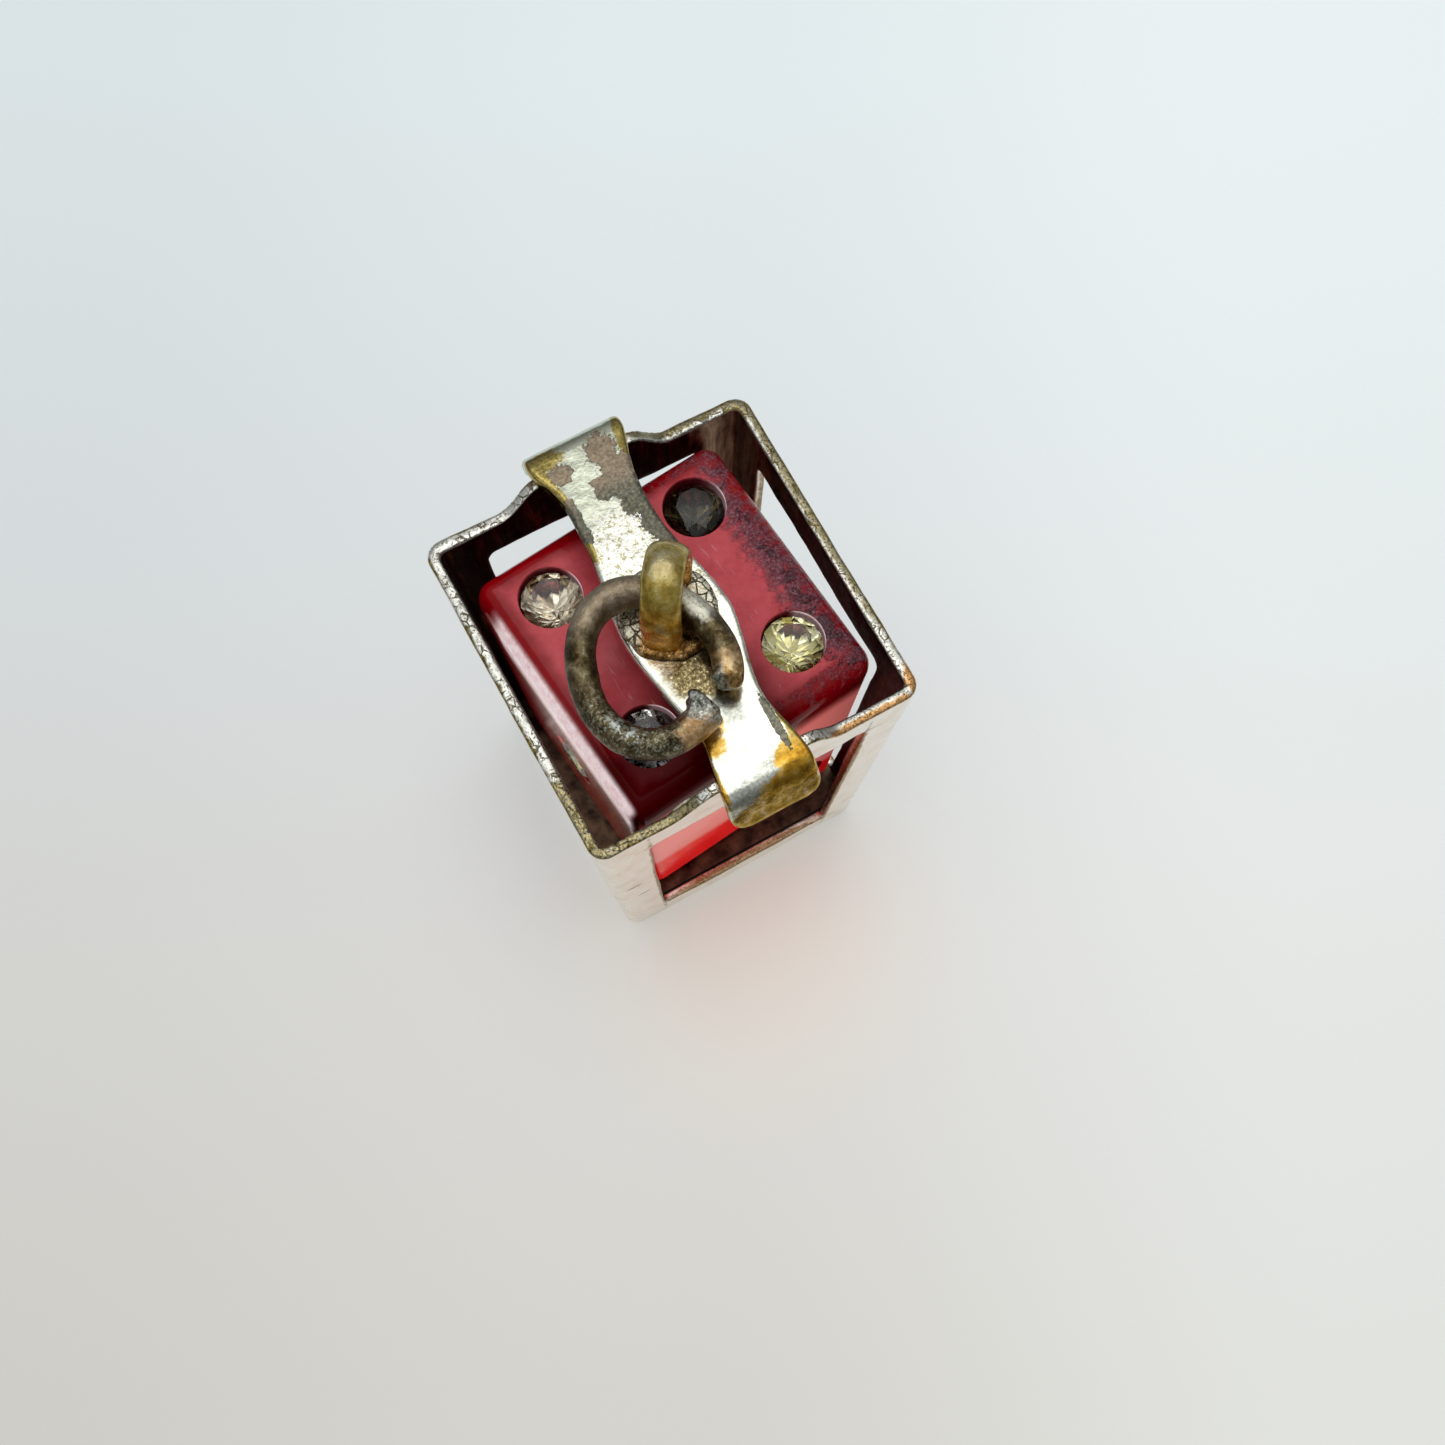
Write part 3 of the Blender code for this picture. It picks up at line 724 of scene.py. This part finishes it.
def add_band():
    """The square band with its four windows, its edges worn round."""
    mesh = remeshed(cad_copy("side_band"), 0.085, 5)
    roughen(mesh, (2.6, 0.05, 1), (0.7, 0.018, 2))
    half = 7.0
    window = 4.83
    field(
        mesh,
        "grimy",
        [((-3.6, -6.8, 14.0), (3.2, 0.5, 0.6)), ((-6.8, -5.4, 14.0), (0.5, 2.2, 0.5))],
    )
    field(
        mesh,
        "coppery",
        [((4.6, -6.98, 13.95), (2.6, 0.25, 0.5)), ((6.95, -6.6, 13.9), (0.4, 0.9, 0.6))],
    )
    field(
        mesh,
        "golden",
        [
            ((6.9, 2.0, 14.0), (0.3, 6.5, 0.6)),
            ((3.0, 6.95, 14.2), (4.5, 0.3, 0.9)),
            ((6.7, 6.7, 14.0), (0.8, 0.8, 0.6)),
        ],
    )
    field(mesh, "tan", [((6.5, 5.3, 10.5), (0.4, 1.3, 4.5)), ((5.6, 6.5, 10.5), (1.3, 0.4, 4.5))])
    nicks = [((-6.0, -7.0, 8.1), (0.45, 0.1, 0.06)), ((-5.7, -7.0, 6.3), (0.5, 0.1, 0.05))]
    field(mesh, "nicks", nicks)
    sides = []
    for sx in (-1, 1):
        for sy in (-1, 1):
            sides.append(((sx * window, sy * half, 7.0), (0.16, 0.4, 6.2)))
            sides.append(((sx * half, sy * window, 7.0), (0.4, 0.16, 6.2)))
    for low in (1.45, 12.7):
        for side in (-1, 1):
            sides.append(((0.0, side * half, low), (5.2, 0.4, 0.16)))
            sides.append(((side * half, 0.0, low), (0.4, 5.2, 0.16)))
    field(mesh, "edges", sides)
    add_piece("band", mesh, "cage", ["side_band"], [band_finish()])


STRAP_TARNISH = [
    ((0.6, 6.25, 15.4), (0.6, 0.8, 1.2)),
    ((0.75, 5.3, 15.4), (0.65, 0.9, 1.2)),
    ((-0.1, 5.25, 15.4), (0.35, 0.16, 1.2)),
    ((0.1, 4.85, 15.4), (0.5, 0.4, 1.2)),
    ((0.8, 4.1, 15.4), (0.55, 1.0, 1.2)),
    ((0.95, 3.0, 15.4), (0.45, 1.1, 1.2)),
    ((1.15, 2.3, 15.4), (0.35, 0.5, 1.2)),
    ((-1.15, 6.1, 15.4), (0.42, 0.4, 1.2)),
    ((-1.45, 4.6, 15.4), (0.22, 0.5, 1.2)),
    ((-1.5, 3.8, 15.4), (0.22, 0.6, 1.2)),
    ((1.05, -5.9, 15.4), (0.16, 1.1, 1.2)),
]
STRAP_GOLD = [
    ((-1.6, 6.9, 15.2), (0.9, 0.42, 1.0)),
    ((-2.0, 6.3, 15.2), (0.42, 1.0, 1.0)),
    ((-1.7, 5.0, 15.2), (0.26, 1.3, 1.0)),
    ((-1.65, 3.4, 15.2), (0.2, 1.1, 1.0)),
    ((1.65, 6.8, 15.2), (0.3, 0.7, 1.0)),
    ((1.4, 5.6, 15.2), (0.22, 1.0, 1.0)),
    ((1.45, -5.6, 15.2), (0.22, 2.2, 1.0)),
    ((-1.85, -6.2, 15.2), (0.2, 1.6, 1.0)),
    ((1.15, -7.4, 15.0), (0.8, 1.0, 1.0)),
    ((0.4, -7.9, 14.7), (1.2, 0.5, 1.0)),
]


def add_strap():
    """The strap across the top, bent down over the band at both ends."""
    mesh = remeshed(cad_copy("top_strap"), 0.06, 4)
    roughen(mesh, (1.8, 0.03, 3), (0.5, 0.008, 4))
    field(mesh, "tarnish", STRAP_TARNISH)
    field(mesh, "golden", STRAP_GOLD)
    field(
        mesh,
        "sparkling",
        [((-0.2, 2.4, 15.4), (1.6, 1.6, 1.0)), ((-0.2, 0.2, 15.4), (2.2, 2.6, 1.0))],
    )
    # Worn sandy plate, painted darker for the ring's shadow.
    field(
        mesh, "dull_and_shaded", [((-0.6, -2.9, 15.4), (1.1, 0.9, 1.0)), ((-0.1, -3.4, 15.4), (0.7, 0.7, 1.0))]
    )
    field(
        # Painted shade: grey shadowy patches.
        mesh,
        "grey",
        [
            ((-0.7, -7.6, 15.2), (1.2, 0.5, 0.6)),
            ((-0.1, -4.7, 15.4), (0.5, 0.6, 0.6)),
            ((0.6, -7.1, 15.3), (0.9, 0.3, 0.6)),
        ],
    )
    field(
        mesh,
        "coppery",
        [
            ((0.6, -8.35, 14.3), (1.4, 0.4, 0.9)),
            ((-1.0, -8.3, 14.4), (1.1, 0.4, 0.9)),
            # These two: a painted shadow under the ring's torn end, in the copper colour.
            ((-1.35, -5.4, 15.3), (0.6, 0.6, 0.8)),
            ((-0.85, -5.0, 15.3), (0.3, 0.5, 0.8)),
        ],
    )
    add_piece("strap", mesh, "cage", ["top_strap"], [strap_finish()])


def oval(centre, across, out, half_wide, half_thick, sides):
    """The points of an elliptical cross-section."""
    ring = []
    for i in range(sides):
        angle = 2 * math.pi * (i + 0.5) / sides
        aside = half_wide * math.cos(angle) * across
        ring.append(centre + aside + half_thick * math.sin(angle) * out)
    return ring


def add_loop():
    """The upright wire loop: two short legs and a half circle."""
    turn = math.radians(LOOP["turn"])
    along = Vector((math.cos(turn), math.sin(turn), 0.0))
    across = UP.cross(along)
    foot = Vector((LOOP["x"], LOOP["y"], STRAP_TOP + PAD["high"] + 2 * PAD["gap"]))
    crown = foot + LOOP["leg"] * UP
    reach = LOOP["out"] - LOOP["thick"] / 2
    shape = (LOOP["wide"] / 2, LOOP["thick"] / 2, 28)
    rings = []
    legs = 8
    for i in range(legs):
        rise = LOOP["leg"] * i / legs * UP
        rings.append(oval(foot + reach * along + rise, across, along, *shape))
    steps = 56
    for i in range(steps + 1):
        angle = math.pi * i / steps
        out = math.cos(angle) * along + math.sin(angle) * UP
        rings.append(oval(crown + reach * out, across, out, *shape))
    for i in range(legs):
        fall = LOOP["leg"] * (i + 1) / legs * UP
        rings.append(oval(crown - reach * along - fall, across, -along, *shape))
    mesh = to_mesh(loft(rings), "loop", 60.0)
    roughen(mesh, (1.4, 0.06, 5), (0.4, 0.014, 6))
    add_piece("loop", mesh, "cage", ["hanging_loop"], [loop_finish()])


def add_pad():
    """The solder pad: a low, lumpy puddle with an uneven edge."""
    middle = Vector((LOOP["x"], LOOP["y"], STRAP_TOP + PAD["gap"]))
    sides = 120
    rows = []
    profile = [
        (0.97, 0.0),
        (1.0, 0.25),
        (0.985, 0.6),
        (0.94, 0.85),
        (0.86, 1.0),
        (0.7, 1.04),
        (0.45, 1.0),
        (0.2, 0.95),
        (0.02, 0.95),
    ]
    for share, rise in profile:
        row = []
        for i in range(sides):
            angle = 2 * math.pi * i / sides
            ragged = noise.noise(Vector((3.0 * math.cos(angle), 3.0 * math.sin(angle), 2.0)))
            radius = PAD["radius"] * share * (1 + 0.06 * ragged * share)
            spot = Vector((radius * math.cos(angle), radius * math.sin(angle), 0.0))
            lump = 1 + 0.3 * noise.noise(spot * 1.8) * min(1.0, rise)
            row.append(middle + spot + PAD["high"] * rise * lump * UP)
        rows.append(row)
    mesh = to_mesh(loft(rows), "pad", 60.0)
    field(
        mesh,
        "coppery",
        [((0.1, -1.7, 15.5), (1.2, 0.9, 0.6)), ((-1.0, -1.6, 15.5), (1.2, 0.9, 0.6))],
    )
    add_piece("solder_pad", mesh, "cage", ["loop_solder"], [solder_finish()])


def add_ring():
    """The split ring, dented and uneven, with one rounded end and one torn, crumbly end."""
    hinge = [j for j in frame["joints"] if j["name"] == "ring_swing"][0]
    spot = Vector(hinge["pos_m"]) / MM
    turn = Matrix.Rotation(math.radians(RING_PLACE["turn"]), 4, "Z")
    pitch = Matrix.Rotation(math.radians(RING_PLACE["pitch"]), 4, "Y")
    place = Matrix.Translation(spot) @ turn @ pitch
    middle = Vector((RING_PLACE["reach"], 0.0, 0.0))
    sweep = 360.0 + RING_ENDS["in"] - RING_ENDS["out"]
    steps = 300
    rings = []
    for i in range(steps + 1):
        share = i / steps
        angle = math.radians(RING_ENDS["out"] + sweep * share)
        lobes = math.sin(3 * angle - math.radians(RING["lobe_at"]))
        bent = RING["oval"] * math.sin(2 * angle) - RING["lobe"] * lobes
        reach = RING["radius"] + bent - RING_ENDS["tuck"] * share**16
        out = Vector((math.cos(angle), math.sin(angle), 0.0))
        length = share * math.radians(sweep) * RING["radius"]
        left = math.radians(sweep) * RING["radius"] - length
        narrow = 1.0
        for run in (length, left):
            if run < RING_ENDS["cap"]:
                narrow = min(narrow, math.sqrt(max(0.02, 1 - (1 - run / RING_ENDS["cap"]) ** 2)))
        wire = RING["wire"] * narrow
        lump = share**24
        wide = wire * (1 + TORN_END["wider"] * lump)
        thick = wire * (1 + TORN_END["thicker"] * lump)
        centre = middle + reach * out + TORN_END["lift"] * lump * UP
        rings.append([place @ p for p in oval(centre, out, UP, wide, thick, 36)])
    mesh = to_mesh(loft(rings), "ring", 70.0)
    in_turn = Matrix.Rotation(math.radians(RING_ENDS["in"]), 3, "Z")
    out_turn = Matrix.Rotation(math.radians(RING_ENDS["out"]), 3, "Z")
    end_in = place @ (middle + in_turn @ Vector((END_PATCHES["crumbly"], 0, 0)))
    end_out = place @ (middle + out_turn @ Vector((END_PATCHES["brassy"], 0, 0)))
    roughen(mesh, (1.2, 0.045, 7), (0.35, 0.014, 8))
    points = positions(mesh)
    away = np.linalg.norm(points - np.array(end_in), axis=1)
    near_end = np.clip(TORN_END["reach"] - away, 0, 1)
    push = TORN_END["lumps"] * near_end * wander(points, 0.36, 9)
    move_to(mesh, points + normals(mesh) * push[:, None])
    field(mesh, "crumbly", [(tuple(end_in), (1.1, 1.1, 1.1))])
    field(mesh, "brassy", [(tuple(end_out), (0.95, 0.95, 0.95))])
    # Where the painted highlight on the right goes.
    field(mesh, "pale", [((0.45, -1.1, 16.9), (0.55, 1.0, 0.6))])
    # Where the painted highlight at the top left goes.
    field(mesh, "tawny_highlight", [((-2.4, 0.4, 16.6), (1.9, 1.0, 1.2))])
    field(mesh, "mottled", [((-3.4, -4.0, 16.2), (2.0, 2.0, 1.4))])
    field(mesh, "bluish", [((-3.6, -3.6, 16.5), (0.6, 1.0, 0.7))])
    field(
        mesh,
        "coppery",
        [
            ((-1.3, -5.1, 15.9), (1.2, 0.8, 0.9)),
            ((-0.6, -4.8, 15.7), (0.7, 0.7, 0.6)),
            ((0.5, -3.6, 16.0), (0.7, 1.2, 0.7)),
        ],
    )
    add_piece("ring", mesh, "ring", ["jump_ring"], [ring_finish()])


def pip_layout(count):
    """Where the pips of one face sit, in steps from its middle."""
    centre = [(0, 0)]
    slope = [(-1, 1), (1, -1)]
    other = [(1, 1), (-1, -1)]
    sides = [(-1, 0), (1, 0)]
    return {
        1: centre,
        2: slope,
        3: centre + slope,
        4: slope + other,
        5: centre + slope + other,
        6: slope + other + sides,
    }[count]


def die_place():
    """Where the die stands, and how it is turned."""
    spot = Vector((DIE["x"], DIE["y"], DIE["z"])) * MM
    return Matrix.Translation(spot) @ Matrix.Rotation(math.radians(DIE["turn"]), 4, "Z")


def pips():
    """Name and placement of every pip in the die's own axes. Local +Z points out of the face."""
    x = Vector((1, 0, 0))
    y = Vector((0, 1, 0))
    faces = [
        ("top", 5, UP, x),
        ("bottom", 2, -UP, x),
        ("near", 3, -y, x),
        ("far", 4, y, -x),
        ("right", 6, x, y),
        ("left", 1, -x, -y),
    ]
    found = []
    for face, count, normal, u in faces:
        v = normal.cross(u)
        turn = Matrix((u, v, normal)).transposed().to_4x4()
        for i, (a, b) in enumerate(pip_layout(count), start=1):
            spot = DIE["step"] * (a * u + b * v) + DIE["side"] / 2 * normal
            if face == "top":
                spot += TOP_PIPS
            found.append((f"{face}_{i}", Matrix.Translation(spot * MM) @ turn))
    return found


def turned(profile, sides):
    """A closed solid of revolution about Z, from (radius, z) points that start and end at 0."""
    bm = bmesh.new()
    rows = []
    for radius, z in profile:
        row = []
        for i in range(1 if radius == 0 else sides):
            angle = 2 * math.pi * i / sides
            spot = Vector((radius * math.cos(angle), radius * math.sin(angle), z))
            row.append(bm.verts.new(spot * MM))
        rows.append(row)
    for first, second in zip(rows, rows[1:]):
        for i in range(sides):
            j = (i + 1) % sides
            corners = [
                first[i % len(first)],
                first[j % len(first)],
                second[j % len(second)],
                second[i % len(second)],
            ]
            bm.faces.new(list(dict.fromkeys(corners)))
    bmesh.ops.recalc_face_normals(bm, faces=bm.faces)
    return bm


def add_die():
    """The red die: a rounded block with a soft-lipped recess for every stone."""
    bm = bmesh.new()
    bmesh.ops.create_cube(bm, size=DIE["side"] * MM)
    edges = list(bm.edges)
    bmesh.ops.bevel(
        bm,
        geom=edges,
        offset=DIE["round"] * MM,
        offset_type="OFFSET",
        segments=8,
        profile=0.5,
        affect="EDGES",
    )
    block = bpy.data.meshes.new("block")
    bm.to_mesh(block)
    bm.free()

    lip = RECESS["lip"]
    edge = RECESS["radius"]
    mouth = edge + 2 * lip
    profile = [(0, RECESS["clear"]), (mouth, RECESS["clear"]), (mouth, 0.05)]
    for i in range(5):
        angle = math.pi / 2 * i / 4
        profile.append((edge + lip - lip * math.sin(angle), -lip + lip * math.cos(angle)))
    profile += [(edge, -RECESS["wall"]), (0, -RECESS["deep"])]
    drills = bmesh.new()
    for _, place in pips():
        one = turned(profile, 48)
        one.transform(place)
        mesh = bpy.data.meshes.new("drill")
        one.to_mesh(mesh)
        one.free()
        drills.from_mesh(mesh)
        bpy.data.meshes.remove(mesh)
    drill_mesh = bpy.data.meshes.new("drills")
    drills.to_mesh(drill_mesh)
    drills.free()
    drill = bpy.data.objects.new("drills", drill_mesh)
    bpy.context.scene.collection.objects.link(drill)
    cut = {"operation": "DIFFERENCE", "object": drill, "solver": "EXACT"}
    mesh = with_modifiers(block, ("BOOLEAN", cut))
    bpy.data.objects.remove(drill)
    mesh.shade_smooth()
    mesh.set_sharp_from_angle(angle=math.radians(30))
    piece = add_piece("red_die", mesh, "die", ["die"], [die_finish()], die_place())
    shade = piece.modifiers.new("even_shading", "WEIGHTED_NORMAL")
    shade.keep_sharp = True
    right = DIE["side"] / 2 - DIE["round"]
    field(
        mesh,
        "scuffed",
        [((right, 0.0, 5.8), (1.0, 5.2, 0.6)), ((right, -3.6, 5.8), (0.8, 1.6, 0.6))],
    )
    field(
        mesh,
        "gouged",
        [
            ((4.3, -0.2, 5.8), (1.1, 1.9, 0.8)),
            ((4.6, -3.9, 5.8), (0.9, 1.5, 0.8)),
            ((4.9, 3.4, 5.8), (0.5, 1.4, 0.8)),
        ],
    )


def cut_stone(seed):
    """A round brilliant: table, crown, thin girdle and a back that has foil behind it."""
    radius = STONE["radius"]
    top = STONE["proud"]
    table = radius * CUT["table"]
    girdle = top - STONE["crown"]
    under = girdle - STONE["girdle"]
    culet = under - STONE["pavilion"]
    step = 2 * math.pi / 8
    bm = bmesh.new()
    facet = bm.faces.layers.float.new("facet")
    dice = random.Random(seed)

    def around(distance, z, count, offset=0.0):
        row = []
        for i in range(count):
            angle = 2 * math.pi * (i + offset) / count
            spot = Vector((distance * math.cos(angle), distance * math.sin(angle), z))
            row.append(bm.verts.new(spot * MM))
        return row

    slope = (top - girdle) / (radius - table)
    mid = CUT["crown"] * radius
    mid_z = top - (mid * math.cos(step / 2) - table) * slope
    tables = around(table, top, 8)
    crowns = around(mid, mid_z, 8, 0.5)
    upper = around(radius, girdle, 16)
    lower = around(radius, under, 16)
    low = CUT["back"] * radius
    fall = (under - culet) / radius
    backs = around(low, culet + low * math.cos(step / 2) * fall, 8, 0.5)
    point = bm.verts.new((0.0, 0.0, culet * MM))
    front = [tables]
    back = []
    for i in range(8):
        j = (i + 1) % 8
        a, b, c = upper[2 * i], upper[2 * i + 1], upper[(2 * i + 2) % 16]
        front.append([tables[i], crowns[i - 1], a, crowns[i]])
        front.append([tables[i], crowns[i], tables[j]])
        front.append([crowns[i], a, b])
        front.append([crowns[i], b, c])
        a, b, c = lower[2 * i], lower[2 * i + 1], lower[(2 * i + 2) % 16]
        back.append([point, backs[i - 1], a, backs[i]])
        back.append([backs[i], a, b])
        back.append([backs[i], b, c])
    for i in range(16):
        j = (i + 1) % 16
        back.append([upper[i], upper[j], lower[j], lower[i]])
    for corners in front:
        bm.faces.new(corners).material_index = 0
    for corners in back:
        face = bm.faces.new(corners)
        face.material_index = 1
        face[facet] = dice.random()
    bmesh.ops.recalc_face_normals(bm, faces=bm.faces)
    mesh = bpy.data.meshes.new("stone")
    bm.to_mesh(mesh)
    bm.free()
    return mesh


def add_stones():
    """One cut stone in every recess: yellow, but for three on top."""
    finishes = {
        "yellow": stone_finishes(
            "yellow_stone", (0.99, 0.98, 0.88), (0.55, 0.50, 0.24), (1.0, 1.0, 0.86), 0.04
        ),
        "clear": stone_finishes(
            "clear_stone", (0.98, 0.97, 0.93), (0.34, 0.26, 0.17), (0.98, 0.94, 0.84), 0.14
        ),
        "dark": stone_finishes(
            "dark_stone", (0.60, 0.55, 0.46), (0.015, 0.012, 0.008), (0.45, 0.40, 0.26), 0.12
        ),
        # Under the ring: a stone whose foil is painted nearly black for the ring's shadow, with
        # white flecks.
        "ring_shadowed": stone_finishes(
            "chipped_stone", (0.98, 0.96, 0.94), (0.012, 0.004, 0.004), (1.0, 1.0, 0.98), 0.04
        ),
    }
    kinds = {"top_2": "clear", "top_4": "dark", "top_5": "ring_shadowed"}
    meshes = {}
    for seed, (kind, finish) in enumerate(finishes.items()):
        meshes[kind] = cut_stone(seed + 5)
        for one in finish:
            meshes[kind].materials.append(one)
    for i, (name, place) in enumerate(pips()):
        kind = kinds.get(name, "yellow")
        stone = bpy.data.objects.new("stone_cut_" + name, meshes[kind])
        bpy.context.scene.collection.objects.link(stone)
        spin = Matrix.Rotation(math.radians(13.0 + 31.0 * i), 4, "Z")
        stone.matrix_world = die_place() @ place @ spin
        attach(stone, "die")
        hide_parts("stone_" + name)


# ------------------------------------------------------------------- the stage


def add_floor():
    """The sheet of paper, with light painted on: bluish and brighter far away, shaded on the left,
    warm beside the charm from painted reflected light, and glowing a little.
    """
    half = 600.0
    bm = bmesh.new()
    bmesh.ops.create_grid(bm, x_segments=1, y_segments=1, size=half * MM)
    mesh = to_mesh(bm, "floor")
    floor = bpy.data.objects.new("floor", mesh)
    bpy.context.scene.collection.objects.link(floor)
    paint = Paint("floor_paper", Roughness=0.6)
    away = paint.vector("DOT_PRODUCT", paint.place, (0.488, 0.873, 0.0))
    aside = paint.vector("DOT_PRODUCT", paint.place, (0.873, -0.488, 0.0))
    # Painted light: greyer near, brighter and bluish far away, for how the light falls across the
    # paper.
    stops = [
        (0.05, (0.66, 0.645, 0.605)),
        (0.3, (0.69, 0.685, 0.665)),
        (0.53, (0.70, 0.735, 0.745)),
        (0.92, (0.74, 0.81, 0.83)),
    ]
    sheet = paint.ramp(paint.scaled(away, 1 / 90, 0.42), *stops)
    # Painted shadow on the left, painted light on the right.
    sheet = paint.mix(paint.times(paint.step(aside, 0.0, -36.0), 0.07), sheet, (0.0, 0.0, 0.0))
    sheet = paint.mix(paint.times(paint.step(aside, 0.0, 36.0), 0.35), sheet, (0.95, 1.0, 0.99))
    # Painted glow: light reflected from the charm, warm, in front of it.
    warm = paint.vector("LENGTH", paint.vector("SUBTRACT", paint.place, (-1.0, -10.0, 0.0)))
    sheet = paint.mix(paint.times(paint.step(warm, 14.0, 2.0), 0.4), sheet, (0.82, 0.72, 0.60))
    paint.colour(sheet)
    # The paper glows a little, to lift the shadows.
    paint.set(paint.shader.inputs["Emission Color"], sheet)
    paint.set(paint.shader.inputs["Emission Strength"], 0.3)
    paint.relief((paint.noise(0.35, 4.0, 0.6), 0.01))
    mesh.materials.append(paint.material)


def add_camera():
    """The camera, above the near corner and looking down."""
    data = bpy.data.cameras.new("camera")
    data.sensor_width = 36.0
    data.lens = 18.93
    data.shift_y = 0.1663
    data.clip_start = 1 * MM
    camera = bpy.data.objects.new("camera", data)
    camera.location = Vector((-6.694, -14.650, 41.140)) * MM
    camera.rotation_euler = Euler([math.radians(a) for a in (6.346, -1.295, -29.234)])
    bpy.context.scene.collection.objects.link(camera)
    bpy.context.scene.camera = camera


def add_light(name, towards, distance, size, strength, colour=(1.0, 1.0, 1.0)):
    """A square soft light that looks as bright as strength from where the charm stands."""
    data = bpy.data.lights.new(name, "AREA")
    data.shape = "SQUARE"
    data.size = size
    data.energy = strength * math.pi * size**2
    data.color = colour
    light = bpy.data.objects.new(name, data)
    direction = Vector(towards).normalized()
    light.location = direction * distance
    light.rotation_euler = direction.to_track_quat("Z", "Y").to_euler()
    bpy.context.scene.collection.objects.link(light)


def add_lights():
    """A broad light overhead, a window on the left and a grey room that is paler above."""
    add_light("overhead", (0.1, 0.2, 1.0), 0.4, 0.36, 1.15, (1.0, 0.99, 0.95))
    add_light("window", (-0.9, 0.35, 0.75), 0.45, 0.16, 0.7, (0.93, 0.97, 1.0))
    world = bpy.data.worlds.new("studio")
    world.use_nodes = True
    tree = world.node_tree
    coordinates = tree.nodes.new("ShaderNodeTexCoord")
    split = tree.nodes.new("ShaderNodeSeparateXYZ")
    ramp = tree.nodes.new("ShaderNodeValToRGB")
    tree.links.new(coordinates.outputs["Generated"], split.inputs[0])
    tree.links.new(split.outputs[2], ramp.inputs[0])
    stops = [
        (0.0, (0.16, 0.15, 0.14)),
        (0.4, (0.24, 0.24, 0.24)),
        (0.72, (0.52, 0.53, 0.53)),
        (0.9, (0.78, 0.80, 0.82)),
        (1.0, (0.8, 0.82, 0.85)),
    ]
    set_stops(ramp.color_ramp, stops)
    tree.links.new(ramp.outputs["Color"], tree.nodes["Background"].inputs["Color"])
    tree.nodes["Background"].inputs["Strength"].default_value = 0.9
    bpy.context.scene.world = world


add_camera()
add_floor()
add_lights()
add_band()
frame["nodes"]["base_plate"].data.materials.clear()
frame["nodes"]["base_plate"].data.materials.append(dark_plate_finish())
add_strap()
add_loop()
add_pad()
add_ring()
add_die()
add_stones()
bpy.context.scene.view_settings.view_transform = "Standard"
